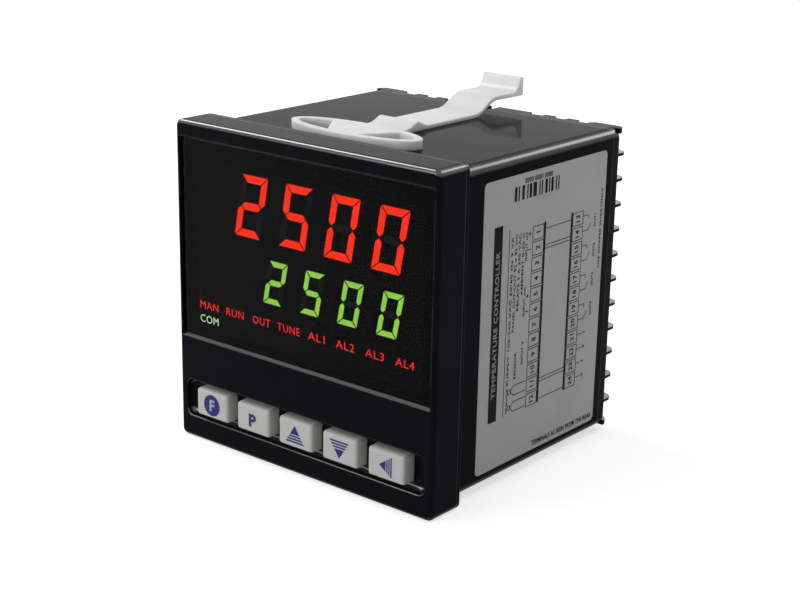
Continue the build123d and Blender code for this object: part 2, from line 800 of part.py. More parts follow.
# Keys: tapered cap, retaining flange behind the recess floor and a post towards its switch
flange_front = plate_depth + key_gap
post_end = plunger_depth - key_travel - key_guard
for index, key_name in enumerate(
    ("function_key", "program_key", "raise_key", "lower_key", "shift_key")
):
    with BuildPart() as key:
        with BuildSketch(at_depth(flange_front)):
            with Locations(key_place(index)):
                RectangleRounded(key_width, key_height, key_round)
        extrude(amount=flange_front + key_proud, taper=key_draft)
        fillet(key.faces().sort_by(Axis.Y)[0].edges(), radius=key_round)
        with BuildSketch(at_depth(flange_front)):
            with Locations(key_place(index)):
                Rectangle(key_width + 2 * key_flange, key_height + 2 * key_flange)
        extrude(amount=-key_flange_depth)
        with BuildSketch(at_depth(flange_front + key_flange_depth)):
            with Locations(key_place(index)):
                Circle(key_post_radius)
        extrude(amount=-(post_end - flange_front - key_flange_depth))
    write(key.part, key_name)

# Clamp: oval loop with its web, strap, cross rib, ramp, thumb tab and T-shaped runner
loop_middle = clamp_start + loop_half_depth
strap_end = clamp_start + strap_flat
ramp_end = strap_end + ramp_run
strap_top = body_top + strap_thickness
raised = body_top + ramp_rise
with BuildPart() as mounting_clamp:
    with BuildSketch(at_height(body_top)):
        with Locations((0, loop_middle)):
            Ellipse(loop_half_width, loop_half_depth)
            Ellipse(loop_half_width - loop_band, loop_half_depth - loop_band, mode=Mode.SUBTRACT)
        with BuildLine():
            Polyline(
                (-web_front_half, clamp_start + loop_band / 2),
                (web_front_half, clamp_start + loop_band / 2),
                (web_rear_half, loop_middle + loop_half_depth - loop_band),
                (-web_rear_half, loop_middle + loop_half_depth - loop_band),
                close=True,
            )
        make_face()
    extrude(amount=loop_height)
    with BuildSketch(at_side(-strap_width / 2)):
        with BuildLine():
            hump_front = clamp_start + hump_middle - hump_half
            hump_rear = clamp_start + hump_middle + hump_half
            foot = Line((loop_middle, body_top), (strap_end, body_top))
            under = Spline(foot @ 1, (ramp_end, raised), tangents=[(1, 0), (1, 0)])
            low = Line(under @ 1, (tab_end, raised - tab_relief))
            back = Line(low @ 1, (tab_end, raised + strap_thickness + tab_height))
            crest = Line(back @ 1, (tab_end - tab_thickness, raised + strap_thickness + tab_height))
            sweep_foot = (tab_end - tab_thickness - tab_sweep, raised + strap_thickness)
            sweep = Spline(crest @ 1, sweep_foot, tangents=[sweep_top, sweep_low])
            flat = Line(sweep @ 1, (ramp_end, raised + strap_thickness))
            over = Spline(flat @ 1, (strap_end, strap_top), tangents=[(-1, 0), (-1, 0)])
            run = Line(over @ 1, (hump_rear, strap_top))
            hump = Spline(
                run @ 1, (clamp_start + hump_middle, strap_top + hump_height),
                (hump_front, strap_top), tangents=[(-1, 0), (-1, 0)],
            )
            lead = Line(hump @ 1, (loop_middle, strap_top))
            Line(lead @ 1, foot @ 0)
        make_face()
    extrude(amount=strap_width)
    runner_top = body_top - neck_depth - runner_lift
    runner_bottom = body_top - neck_depth - head_depth + rack_height + sliding_gap
    with BuildSketch(at_depth(clamp_start + runner_start)):
        with Locations((0, (body_top + runner_top) / 2)):
            Rectangle(neck_width - 2 * sliding_gap, body_top - runner_top)
        with Locations((0, (runner_top + runner_bottom) / 2)):
            Rectangle(head_width - 2 * sliding_gap, runner_top - runner_bottom)
    extrude(amount=-runner_length)
write(mounting_clamp.part, "mounting_clamp")
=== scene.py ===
"""Looks of a square panel-mount process controller: finishes, print, lit legends, studio and camera."""

import logging
import math
from collections.abc import Iterable, Sequence
from dataclasses import dataclass, field
from enum import Enum

import bmesh
import bpy
from mathutils import Matrix, Vector


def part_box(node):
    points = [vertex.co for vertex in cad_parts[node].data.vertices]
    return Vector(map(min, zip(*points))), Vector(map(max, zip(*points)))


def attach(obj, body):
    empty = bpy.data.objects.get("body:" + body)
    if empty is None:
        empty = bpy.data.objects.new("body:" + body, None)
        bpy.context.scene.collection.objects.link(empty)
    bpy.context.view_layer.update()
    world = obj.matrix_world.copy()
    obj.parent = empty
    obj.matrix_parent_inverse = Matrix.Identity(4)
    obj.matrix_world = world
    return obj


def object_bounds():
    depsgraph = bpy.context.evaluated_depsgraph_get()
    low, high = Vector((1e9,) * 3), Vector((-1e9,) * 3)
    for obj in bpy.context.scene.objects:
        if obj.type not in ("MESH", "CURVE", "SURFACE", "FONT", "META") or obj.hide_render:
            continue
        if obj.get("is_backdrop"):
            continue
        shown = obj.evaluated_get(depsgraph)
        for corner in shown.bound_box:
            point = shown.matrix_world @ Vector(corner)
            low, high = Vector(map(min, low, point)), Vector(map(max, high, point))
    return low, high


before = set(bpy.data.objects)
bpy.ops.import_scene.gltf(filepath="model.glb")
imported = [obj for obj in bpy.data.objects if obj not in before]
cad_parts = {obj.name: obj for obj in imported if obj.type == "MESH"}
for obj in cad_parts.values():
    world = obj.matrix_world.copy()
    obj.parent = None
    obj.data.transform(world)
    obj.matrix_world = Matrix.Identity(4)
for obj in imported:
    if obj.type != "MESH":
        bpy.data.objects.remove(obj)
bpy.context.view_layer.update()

LOG = logging.getLogger("controller_looks")
Colour = tuple[float, float, float]
Point = tuple[float, float]
Counts = tuple[int, int]
Socket = bpy.types.NodeSocket
Sockets = tuple[Socket, ...]
Given = bpy.types.bpy_prop_collection
Feeds = dict[str | int, object]

MM = 0.001
INK_THICKNESS = 0.03 * MM
INK_LIFT = 0.01 * MM
FACE_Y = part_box("front_bezel")[0].y  # plane of the bezel's front; depths are measured rearward from it
RIGHT = Vector((1, 0, 0))
REARWARD = Vector((0, 1, 0))
UPWARD = Vector((0, 0, 1))


def put(name: str, data: bpy.types.ID) -> bpy.types.Object:
    """Put a mesh, a text, a light or a camera into the scene.

    Args:
        name: Name of the object.
        data: What it carries.

    Returns:
        The object.
    """
    carrier = bpy.data.objects.new(name, data)
    bpy.context.scene.collection.objects.link(carrier)
    return carrier


class Graph:
    """Adds and joins the nodes of one shader tree."""

    def __init__(self, tree: bpy.types.NodeTree) -> None:
        """Keep the node tree of a material, a world or a group."""
        self.tree = tree

    def feed(self, node: bpy.types.Node, feeds: Feeds) -> None:
        """Link outputs to a node's inputs, or set the inputs' own values.

        Args:
            node: Node to fill.
            feeds: An output socket, a number or a tuple for each input, by its name or its place.
        """
        for key, value in feeds.items():
            socket = node.inputs[key]
            if isinstance(value, Socket):
                self.tree.links.new(value, socket)
            elif isinstance(value, tuple) and len(value) == 3 and socket.type == "RGBA":
                socket.default_value = (*value, 1.0)
            else:
                socket.default_value = value

    def add(self, kind: str, feeds: Feeds | None = None, **settings: object) -> bpy.types.Node:
        """Add a node.

        Args:
            kind: Blender's type name of the node.
            feeds: What goes into its inputs.
            settings: Properties to set on it.

        Returns:
            The new node.
        """
        node = self.tree.nodes.new(kind)
        for name, value in settings.items():
            setattr(node, name, value)
        self.feed(node, feeds or {})
        return node

    def math(self, operation: str, first: object, second: object = 0.0, clamp: bool = True) -> Socket:
        """Add an arithmetic step by its name, such as MAXIMUM, kept between 0 and 1 if clamped."""
        feeds = {0: first, 1: second}
        return self.add("ShaderNodeMath", feeds, operation=operation, use_clamp=clamp).outputs[0]

    def times(self, first: object, second: object) -> Socket:
        """Multiply two values and keep the result between 0 and 1."""
        return self.math("MULTIPLY", first, second)

    def inverse(self, size: object) -> Socket:
        """Turn a size in metres into a texture scale."""
        return self.math("DIVIDE", 1.0, size, clamp=False)

    def remap(
        self, value: object, low: float, high: float, to_low: object = 0.0, to_high: object = 1.0
    ) -> Socket:
        """Stretch the range from low to high over another one, and stay inside it."""
        feeds = {"Value": value, "From Min": low, "From Max": high, "To Min": to_low, "To Max": to_high}
        return self.add("ShaderNodeMapRange", feeds, clamp=True).outputs["Result"]

    def place(self) -> Socket:
        """Return the point on the piece, in metres, which moves with the piece."""
        return self.add("ShaderNodeTexCoord").outputs["Object"]

    def rounded(self, radius: object) -> Socket:
        """Return the normal of the surface as if its edges had a radius in metres."""
        return self.add("ShaderNodeBevel", {"Radius": radius}, samples=6).outputs["Normal"]

    def upright(self, vector: Socket) -> Socket:
        """Return a vector's upright part."""
        return self.add("ShaderNodeSeparateXYZ", {0: vector}).outputs["Z"]

    def noise(
        self, scale: object, detail: float, distortion: float = 0.0, vector: Socket | None = None
    ) -> Socket:
        """Add noise of a scale in clouds per metre, read at the point on the piece or at a vector."""
        shape = {"Scale": scale, "Detail": detail, "Distortion": distortion}
        return self.add("ShaderNodeTexNoise", {"Vector": vector or self.place(), **shape}).outputs[0]

    def mix(self, share: object, first: object, second: object, blend: str = "MIX") -> Socket:
        """Mix two colours.

        Args:
            share: Share of the second colour.
            first: First colour.
            second: Second colour.
            blend: Blender's name of the way they mix.

        Returns:
            The mixed colour's socket.
        """
        node = self.add("ShaderNodeMix", {"Factor": share}, data_type="RGBA", blend_type=blend)
        places = [place for place, socket in enumerate(node.inputs) if socket.type == "RGBA"]
        self.feed(node, dict(zip(places, (first, second))))
        return next(socket for socket in node.outputs if socket.type == "RGBA")

    def relief(
        self, shader: bpy.types.Node, height: Socket, depth: float, normal: Socket | None = None
    ) -> None:
        """Give a shader fine relief.

        Args:
            shader: Shader whose Normal is set.
            height: Relief from 0 to 1.
            depth: Depth of the relief, in metres.
            normal: Normal that the relief lies on, or nothing for the surface's own.
        """
        bump = self.add("ShaderNodeBump", {"Height": height, "Distance": depth})
        if normal:
            self.feed(bump, {"Normal": normal})
        self.feed(shader, {"Normal": bump.outputs["Normal"]})


class Port(Enum):
    """Kinds of value that an effect puts out."""

    VALUE = "NodeSocketFloat"
    COLOUR = "NodeSocketColor"
    NORMAL = "NodeSocketVector"


class Effect:
    """A node group, built once and placed in each material with its own values."""

    title: str = ""
    inputs: dict[str, float] = {}
    outputs: dict[str, Port] = {"Value": Port.VALUE}

    def fill(self, graph: Graph, given: Given) -> Sockets:
        """Build the inside from the group's tree and inputs, and return what goes out, in order."""
        raise NotImplementedError

    def tree(self) -> bpy.types.NodeTree:
        """Return the group, which is made the first time.

        Returns:
            The group's tree.
        """
        found = bpy.data.node_groups.get(self.title)
        if found:
            return found
        tree = bpy.data.node_groups.new(self.title, "ShaderNodeTree")
        for name, value in self.inputs.items():
            socket = tree.interface.new_socket(name, in_out="INPUT", socket_type=Port.VALUE.value)
            socket.default_value = value
        for name, port in self.outputs.items():
            tree.interface.new_socket(name, in_out="OUTPUT", socket_type=port.value)
        graph = Graph(tree)
        given = graph.add("NodeGroupInput").outputs
        graph.add("NodeGroupOutput", dict(zip(self.outputs, self.fill(graph, given))))
        return tree

    def on(self, graph: Graph, **values: float) -> Sockets:
        """Place the effect in a material, with its inputs by their names in small letters."""
        feeds = {name.capitalize(): value for name, value in values.items()}
        return tuple(graph.add("ShaderNodeGroup", feeds, node_tree=self.tree()).outputs)


class SoftEdge(Effect):
    """Broken edges: their normal, and a mask of where they are rubbed."""

    title = "soft_edge"
    inputs = {"Radius": 0.0004, "Wear": 0.5, "Patch": 0.004}
    outputs = {"Normal": Port.NORMAL, "Worn": Port.VALUE}

    def fill(self, graph: Graph, given: Given) -> Sockets:
        """Compare the rounded normal with the true one.

        Args:
            graph: The group's tree.
            given: The group's inputs.

        Returns:
            The rounded normal and the mask.
        """
        rounded = graph.rounded(given["Radius"])
        true_normal = graph.add("ShaderNodeNewGeometry").outputs["Normal"]
        alike = graph.add("ShaderNodeVectorMath", {0: rounded, 1: true_normal}, operation="DOT_PRODUCT")
        edge = graph.remap(alike.outputs["Value"], 0.995, 0.8)
        patches = graph.remap(graph.noise(graph.inverse(given["Patch"]), detail=5.0), 0.42, 0.62)
        return rounded, graph.times(graph.times(edge, patches), given["Wear"])


class PaintedSheen(Effect):
    """Mask of painted highlights: a coat on slanted faces that face up, where the lights above fall, and
    painted sheen on level ledges below a height.
    """

    title = "painted_sheen"
    inputs = {"Radius": 0.0004, "Edges": 0.9, "Ledges": 0.0, "Below": 0.091}
    outputs = {"Mask": Port.VALUE, "Ledge": Port.VALUE}

    def fill(self, graph: Graph, given: Given) -> Sockets:
        """Find the faces by their rounded normals and their height.

        Args:
            graph: The group's tree.
            given: The group's inputs.

        Returns:
            The whole mask and the ledges alone.
        """
        local = graph.add(
            "ShaderNodeVectorTransform", {0: graph.rounded(given["Radius"])},
            vector_type="NORMAL", convert_from="WORLD", convert_to="OBJECT",
        )
        facing, height = graph.upright(local.outputs[0]), graph.upright(graph.place())
        tilt = graph.math("ABSOLUTE", facing)
        slanted = graph.times(graph.remap(tilt, 0.12, 0.4), graph.remap(tilt, 0.985, 0.9))
        # Slanted faces that face up, where the lights above fall: the coat paints their highlight.
        upper = graph.times(slanted, graph.remap(facing, -0.3, 0.1, 0.3, 1.0))
        # Level faces that face up below the height, such as fin tops and lips: a painted sheen.
        low_enough = graph.math("LESS_THAN", height, given["Below"])
        level = graph.times(graph.remap(facing, 0.9, 0.97), low_enough)
        ledges = graph.times(level, given["Ledges"])
        return graph.math("MAXIMUM", graph.times(upper, given["Edges"]), ledges), ledges


class MouldGrain(Effect):
    """Relief of a moulded surface: fine spark grain over a faint orange peel."""

    title = "mould_grain"
    inputs = {"Size": 0.0005, "Peel": 0.006}
    outputs = {"Height": Port.VALUE}

    def fill(self, graph: Graph, given: Given) -> Sockets:
        """Add two sizes of noise.

        Args:
            graph: The group's tree.
            given: The group's inputs.

        Returns:
            The height.
        """
        fine = graph.noise(graph.inverse(given["Size"]), detail=3.0)
        peel = graph.noise(graph.inverse(given["Peel"]), detail=1.0)
        return (graph.math("ADD", graph.times(fine, 0.35), graph.times(peel, 0.65)),)


class Smudge(Effect):
    """Roughness that drifts where hands and cloths have been."""

    title = "smudge"
    inputs = {"Size": 0.02, "Low": 0.15, "High": 0.25}

    def fill(self, graph: Graph, given: Given) -> Sockets:
        """Stretch swirling noise between the two values."""
        swirl = graph.noise(graph.inverse(given["Size"]), detail=4.0, distortion=0.8)
        return (graph.remap(swirl, 0.35, 0.68, given["Low"], given["High"]),)


class Dust(Effect):
    """Mask of fine dust that settles on what faces up."""

    title = "dust"
    inputs = {"Size": 0.0004, "Amount": 0.1}
    outputs = {"Mask": Port.VALUE}

    def fill(self, graph: Graph, given: Given) -> Sockets:
        """Put specks and a thin film on the upward faces.

        Args:
            graph: The group's tree.
            given: The group's inputs.

        Returns:
            The mask.
        """
        facing = graph.upright(graph.add("ShaderNodeTexCoord").outputs["Normal"])
        upward = graph.remap(facing, 0.2, 0.95, 0.04, 1.0)
        specks = graph.remap(graph.noise(graph.inverse(given["Size"]), detail=6.0), 0.62, 0.74)
        film = graph.remap(graph.noise(70.0, detail=4.0), 0.35, 0.75, 0.25, 0.6)
        settled = graph.times(graph.math("ADD", specks, film), upward)
        return (graph.times(settled, given["Amount"]),)


class Streaks(Effect):
    """Fine lines along one direction, as drawing and turning leave on metal."""

    title = "streaks"
    inputs = {"Across": 0.0001, "Along": 0.004}

    def fill(self, graph: Graph, given: Given) -> Sockets:
        """Squeeze noise in one direction.

        Args:
            graph: The group's tree.
            given: The group's inputs.

        Returns:
            Values from 0 to 1.
        """
        along, across = graph.inverse(given["Along"]), graph.inverse(given["Across"])
        scale = graph.add("ShaderNodeCombineXYZ", {"X": along, "Y": across, "Z": across})
        squeeze = graph.add("ShaderNodeMapping", {"Vector": graph.place(), "Scale": scale.outputs[0]})
        return (graph.noise(1.0, detail=3.0, vector=squeeze.outputs[0]),)


class Mottle(Effect):
    """Faint drift of tone, down from 1."""

    title = "mottle"
    inputs = {"Size": 0.01, "Spread": 0.08}
    outputs = {"Colour": Port.COLOUR}

    def fill(self, graph: Graph, given: Given) -> Sockets:
        """Stretch noise between the darkest tone and 1.

        Args:
            graph: The group's tree.
            given: The group's inputs.

        Returns:
            A grey that a base colour is multiplied by.
        """
        cloud = graph.noise(graph.inverse(given["Size"]), detail=5.0)
        darkest = graph.math("SUBTRACT", 1.0, given["Spread"], clamp=False)
        tone = graph.remap(cloud, 0.3, 0.7, darkest, 1.0)
        return (graph.add("ShaderNodeCombineColor", {"Red": tone, "Green": tone, "Blue": tone}).outputs[0],)


def toned(graph: Graph, colour: Colour, size: float, spread: float) -> Socket:
    """Let a colour drift over the surface, in clouds of a size, down by the spread at most."""
    return graph.mix(1.0, colour, Mottle().on(graph, size=size, spread=spread)[0], "MULTIPLY")


# Colour of settled dust, also used to paint a light sheen on upward ledges.
DUST_AND_SHEEN_COLOUR: Colour = (0.42, 0.41, 0.39)


@dataclass(frozen=True)
class Finish:
    """A surface finish that makes its own material."""

    name: str

    def wire(self, graph: Graph, shader: bpy.types.Node) -> None:
        """Set the Principled shader up in the material's tree."""
        raise NotImplementedError

    def material(self) -> bpy.types.Material:
        """Return the material, which is made the first time.

        Returns:
            The material.
        """
        found = bpy.data.materials.get(self.name)
        if found:
            return found
        material = bpy.data.materials.new(self.name)
        material.use_nodes = True
        self.wire(Graph(material.node_tree), material.node_tree.nodes["Principled BSDF"])
        return material

    def dress(self, *nodes: str) -> None:
        """Put the finish on CAD nodes.

        Args:
            nodes: Names of the nodes.
        """
        for node in nodes:
            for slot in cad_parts[node].material_slots:
                slot.material = self.material()


@dataclass(frozen=True)
class Moulding(Finish):
    """Moulded plastic: gloss, satin or matt, with grain, broken edges, wear and dust; where set, a coat
    that paints highlights on upward edges, and painted sheen on ledges.
    """

    colour: Colour
    roughness: float
    roughness_spread: float
    wear: float
    dust: float
    worn_colour: Colour = (0.08, 0.08, 0.09)
    ior: float = 1.45
    # Coat weights that paint highlights on upward edges and sheen on ledges, the coat's IOR and roughness,
    # and the ledges' share of the lighter dust colour:
    edge_highlight_coat: float = 0.0
    ledge_sheen_weight: float = 0.0
    highlight_coat_ior: float = 2.0
    highlight_coat_roughness: float = 0.2
    ledge_sheen_share: float = 0.6
    dust_dulling: float = 0.5
    wear_dulling: float = 0.2
    grain_size: float = 0.5 * MM
    grain_depth: float = 0.004 * MM
    edge_radius: float = 0.25 * MM
    tone_size: float = 12 * MM
    tone_spread: float = 0.15
    glow_depth: float = 0.0
    glow_reach: Colour = (1.0, 0.95, 0.9)

    def wire(self, graph: Graph, shader: bpy.types.Node) -> None:
        """Set the shader up.

        Args:
            graph: The material's tree.
            shader: Its Principled shader.
        """
        normal, worn = SoftEdge().on(graph, radius=self.edge_radius, wear=self.wear)
        dust = Dust().on(graph, amount=self.dust)[0]
        if self.edge_highlight_coat:
            painted_sheen, ledge_sheen_mask = PaintedSheen().on(
                graph, radius=self.edge_radius, edges=self.edge_highlight_coat, ledges=self.ledge_sheen_weight
            )
            # The coat on the masked edges and ledges paints their highlights.
            graph.feed(shader, {
                "Coat Weight": painted_sheen, "Coat IOR": self.highlight_coat_ior, "Coat Roughness": self.highlight_coat_roughness,
            })
            # Ledges also take the lighter dust colour: a painted sheen, added to the real dust.
            if self.ledge_sheen_weight:
                dust = graph.math("MAXIMUM", dust, graph.times(ledge_sheen_mask, self.ledge_sheen_share))
        tone = toned(graph, self.colour, self.tone_size, self.tone_spread)
        # Broken edges take the worn colour: wear, and on the black mouldings also a painted highlight.
        rubbed = graph.mix(worn, tone, self.worn_colour)
        smooth = Smudge().on(graph, low=self.roughness, high=self.roughness + self.roughness_spread)[0]
        dulled = graph.math("ADD", smooth, graph.times(dust, self.dust_dulling))
        graph.feed(shader, {
            "Base Color": graph.mix(dust, rubbed, DUST_AND_SHEEN_COLOUR),
            "Roughness": graph.math("ADD", dulled, graph.times(worn, self.wear_dulling)),
            "IOR": self.ior,
        })
        if self.glow_depth:
            graph.feed(shader, {
                "Subsurface Weight": 1.0, "Subsurface Radius": self.glow_reach,
                "Subsurface Scale": self.glow_depth,
            })
        graph.relief(shader, MouldGrain().on(graph, size=self.grain_size)[0], self.grain_depth, normal)


@dataclass(frozen=True)
class SmokedWindow(Finish):
    """Smoked clear plastic with a polished face and a few wiped streaks."""

    tint: Colour
    ior: float

    def wire(self, graph: Graph, shader: bpy.types.Node) -> None:
        """Set the shader up.

        Args:
            graph: The material's tree.
            shader: Its Principled shader.
        """
        graph.feed(shader, {
            "Base Color": toned(graph, self.tint, 25 * MM, 0.06),
            "Roughness": Smudge().on(graph, size=0.03, low=0.0, high=0.03)[0],
            "IOR": self.ior,
            "Transmission Weight": 1.0,
        })
        graph.relief(shader, MouldGrain().on(graph, size=2 * MM, peel=15 * MM)[0], 0.002 * MM)


@dataclass(frozen=True)
class LitPlastic(Finish):
    """Diffuser or legend lit from behind."""

    colour: Colour
    strength: float

    def wire(self, graph: Graph, shader: bpy.types.Node) -> None:
        """Set the shader up.

        Args:
            graph: The material's tree.
            shader: Its Principled shader.
        """
        glow = toned(graph, self.colour, 1.6 * MM, 0.14)
        graph.feed(shader, {
            "Base Color": glow,
            "Emission Color": glow,
            "Emission Strength": self.strength,
            "Roughness": Smudge().on(graph, size=0.004, low=0.4, high=0.6)[0],
        })


@dataclass(frozen=True)
class PrintedFilm(Finish):
    """Label film: metallised grey with a satin varnish and faint fibres."""

    colour: Colour
    rubbed_colour: Colour = (0.5, 0.5, 0.5)

    def wire(self, graph: Graph, shader: bpy.types.Node) -> None:
        """Set the shader up.

        Args:
            graph: The material's tree.
            shader: Its Principled shader.
        """
        normal, rubbed = SoftEdge().on(graph, radius=0.3 * MM, wear=0.5)
        film = toned(graph, self.colour, 22 * MM, 0.09)
        graph.feed(shader, {
            "Base Color": graph.mix(rubbed, film, self.rubbed_colour),
            "Roughness": Smudge().on(graph, size=0.015, low=0.38, high=0.52)[0],
        })
        fibres = Streaks().on(graph, across=0.15 * MM, along=1.5 * MM)[0]
        graph.relief(shader, fibres, 0.003 * MM, normal)


@dataclass(frozen=True)
class Ink(Finish):
    """Printed ink with slightly uneven cover."""

    colour: Colour
    roughness: float = 0.45
    roughness_spread: float = 0.12
    spread: float = 0.25
    ior: float = 1.25

    def wire(self, graph: Graph, shader: bpy.types.Node) -> None:
        """Set the shader up.

        Args:
            graph: The material's tree.
            shader: Its Principled shader.
        """
        dull = self.roughness + self.roughness_spread
        graph.feed(shader, {
            "Base Color": toned(graph, self.colour, 0.7 * MM, self.spread),
            "Roughness": Smudge().on(graph, size=0.002, low=self.roughness, high=dull)[0],
            "IOR": self.ior,
        })


@dataclass(frozen=True)
class Metal(Finish):
    """Plated or bare metal with draw lines and a tarnish that lies in clouds."""

    colour: Colour
    tarnish: Colour
    roughness: float = 0.22
    roughness_spread: float = 0.2

    def wire(self, graph: Graph, shader: bpy.types.Node) -> None:
        """Set the shader up.

        Args:
            graph: The material's tree.
            shader: Its Principled shader.
        """
        lines = Streaks().on(graph, across=0.08 * MM, along=2 * MM)[0]
        clouds = graph.remap(graph.noise(420.0, detail=6.0), 0.45, 0.75)
        dull = self.roughness + self.roughness_spread
        graph.feed(shader, {
            "Base Color": graph.mix(clouds, self.colour, self.tarnish),
            "Roughness": graph.remap(lines, 0.3, 0.7, self.roughness, dull),
            "Metallic": 1.0,
        })
        graph.relief(shader, lines, 0.004 * MM, SoftEdge().on(graph, radius=0.12 * MM)[0])


@dataclass(frozen=True)
class SolderMask(Finish):
    """Green printed board: mask over etched tracks, with tinned pads."""

    colour: Colour
    track_colour: Colour
    tin_colour: Colour = (0.7, 0.7, 0.68)
    tracks_per_metre: float = 260.0
    pads_per_metre: float = 300.0
    crowds_per_metre: float = 90.0

    def wire(self, graph: Graph, shader: bpy.types.Node) -> None:
        """Set the shader up.

        Args:
            graph: The material's tree.
            shader: Its Principled shader.
        """
        place = graph.place()
        tracks = graph.add(
            "ShaderNodeTexVoronoi", {"Vector": place, "Scale": self.tracks_per_metre}, distance="CHEBYCHEV"
        )
        track = graph.remap(graph.math("PINGPONG", tracks.outputs["Distance"], 0.16), 0.07, 0.09)
        holes = graph.add(
            "ShaderNodeTexVoronoi", {"Vector": place, "Scale": self.pads_per_metre, "Randomness": 0.75}
        )
        crowded = graph.remap(graph.noise(self.crowds_per_metre, detail=1.0), 0.48, 0.52)
        pad = graph.times(graph.remap(holes.outputs["Distance"], 0.17, 0.14), crowded)
        graph.feed(shader, {
            "Base Color": graph.mix(pad, graph.mix(track, self.colour, self.track_colour), self.tin_colour),
            "Metallic": pad,
            "Roughness": Smudge().on(graph, size=0.01, low=0.25, high=0.4)[0],
        })
        graph.relief(shader, graph.math("MAXIMUM", track, pad), 0.02 * MM)


# On the black mouldings the worn colour is far lighter than the plastic: their broken edges are partly real
# wear and partly a painted highlight.
BODY_BLACK = Moulding(
    "gloss_black_case", colour=(0.0068, 0.0062, 0.0096), worn_colour=(0.12, 0.12, 0.13), roughness=0.04,
    roughness_spread=0.04, ior=1.06, edge_highlight_coat=0.4, wear=0.4, dust=0.006, edge_radius=0.4 * MM,
)
BEZEL_BLACK = Moulding(
    "gloss_black_bezel", colour=(0.0068, 0.0063, 0.0092), worn_colour=(0.12, 0.12, 0.13), roughness=0.06,
    roughness_spread=0.05, ior=1.07, edge_highlight_coat=0.68, wear=0.4, dust=0.006, edge_radius=0.5 * MM,
)
# The block's ledges, such as its fin tops and lips, take a painted sheen.
BLOCK_BLACK = Moulding(
    "satin_black_block", colour=(0.006, 0.006, 0.007), worn_colour=(0.1, 0.1, 0.1), roughness=0.15,
    roughness_spread=0.1, ior=1.08, edge_highlight_coat=0.5, ledge_sheen_weight=1.0, wear=0.4, dust=0.2,
    edge_radius=0.15 * MM, grain_depth=0.008 * MM,
)
KEY_GREY = Moulding(
    "soft_grey_key", colour=(0.56, 0.56, 0.545), worn_colour=(0.4, 0.4, 0.39), roughness=0.42,
    roughness_spread=0.12, wear=0.15, dust=0.05, edge_radius=0.35 * MM, grain_depth=0.01 * MM,
    tone_spread=0.06,
)
NYLON = Moulding(
    "natural_nylon", colour=(0.86, 0.86, 0.87), worn_colour=(0.86, 0.82, 0.72), roughness=0.3,
    roughness_spread=0.12, wear=0.4, dust=0.03, edge_radius=0.45 * MM, grain_depth=0.01 * MM,
    tone_spread=0.08, glow_depth=1.6 * MM,
)
SEAL_RUBBER = Moulding(
    "black_rubber", colour=(0.012, 0.012, 0.012), roughness=0.7, roughness_spread=0.15, wear=0.1, dust=0.15,
)
MATT_BLACK = Moulding(
    "matt_black", colour=(0.003, 0.003, 0.004), roughness=0.75, roughness_spread=0.1, ior=1.1,
    wear=0.0, dust=0.0,
)
RELAY_BLUE = Moulding(
    "relay_blue", colour=(0.02, 0.07, 0.24), roughness=0.35, roughness_spread=0.1, wear=0.15, dust=0.15,
)
FERRITE = Moulding(
    "ferrite_and_tape", colour=(0.35, 0.22, 0.03), roughness=0.5, roughness_spread=0.2, wear=0.1, dust=0.15,
)
CAN_SLEEVE = Moulding(
    "capacitor_sleeve", colour=(0.02, 0.03, 0.07), roughness=0.3, roughness_spread=0.1, wear=0.1, dust=0.12,
)
CHIP_RESIN = Moulding(
    "chip_resin", colour=(0.012, 0.012, 0.013), roughness=0.6, roughness_spread=0.1, wear=0.05, dust=0.1,
)
SEGMENT_OFF = Moulding(
    "unlit_segment", colour=(0.17, 0.22, 0.22), roughness=0.6, roughness_spread=0.1, ior=1.2,
    wear=0.0, dust=0.0,
)
WINDOW_SMOKE = SmokedWindow("smoked_window", tint=(0.12, 0.118, 0.15), ior=1.12)
RED_LIT = LitPlastic("red_digit", colour=(1.0, 0.03, 0.005), strength=8.4)
GREEN_LIT = LitPlastic("green_digit", colour=(0.36, 0.8, 0.07), strength=6.6)
RED_WORD = LitPlastic("red_word", colour=(1.0, 0.03, 0.02), strength=7.0)
GREEN_WORD = LitPlastic("green_word", colour=(0.45, 0.8, 0.3), strength=8.5)
LABEL_FILM = PrintedFilm("label_film", colour=(0.41, 0.41, 0.415))
LABEL_INK = Ink("label_ink", colour=(0.006, 0.006, 0.007), ior=1.12)
LABEL_LIGHT = Ink("label_light", colour=(0.33, 0.33, 0.33))
WHITE_PRINT = Ink("white_print", colour=(0.62, 0.62, 0.6))
LEGEND_INK = Ink("legend_ink", colour=(0.03, 0.03, 0.2), roughness=0.4)
LEGEND_LIGHT = Ink("legend_light", colour=(0.5, 0.5, 0.56), roughness=0.4)
SCREW_STEEL = Metal("plated_screw", colour=(0.66, 0.66, 0.66), tarnish=(0.45, 0.43, 0.4))
CLAMP_STEEL = Metal("plated_clamp", colour=(0.6, 0.6, 0.61), tarnish=(0.4, 0.4, 0.38), roughness=0.3)
CONTACT_BRASS = Metal("tinned_brass", colour=(0.72, 0.6, 0.35), tarnish=(0.5, 0.4, 0.25), roughness=0.28)
SOLDER = Metal("solder", colour=(0.72, 0.72, 0.7), tarnish=(0.5, 0.5, 0.48), roughness=0.3)
BOARD_GREEN = SolderMask("solder_mask", colour=(0.01, 0.09, 0.035), track_colour=(0.02, 0.16, 0.06))


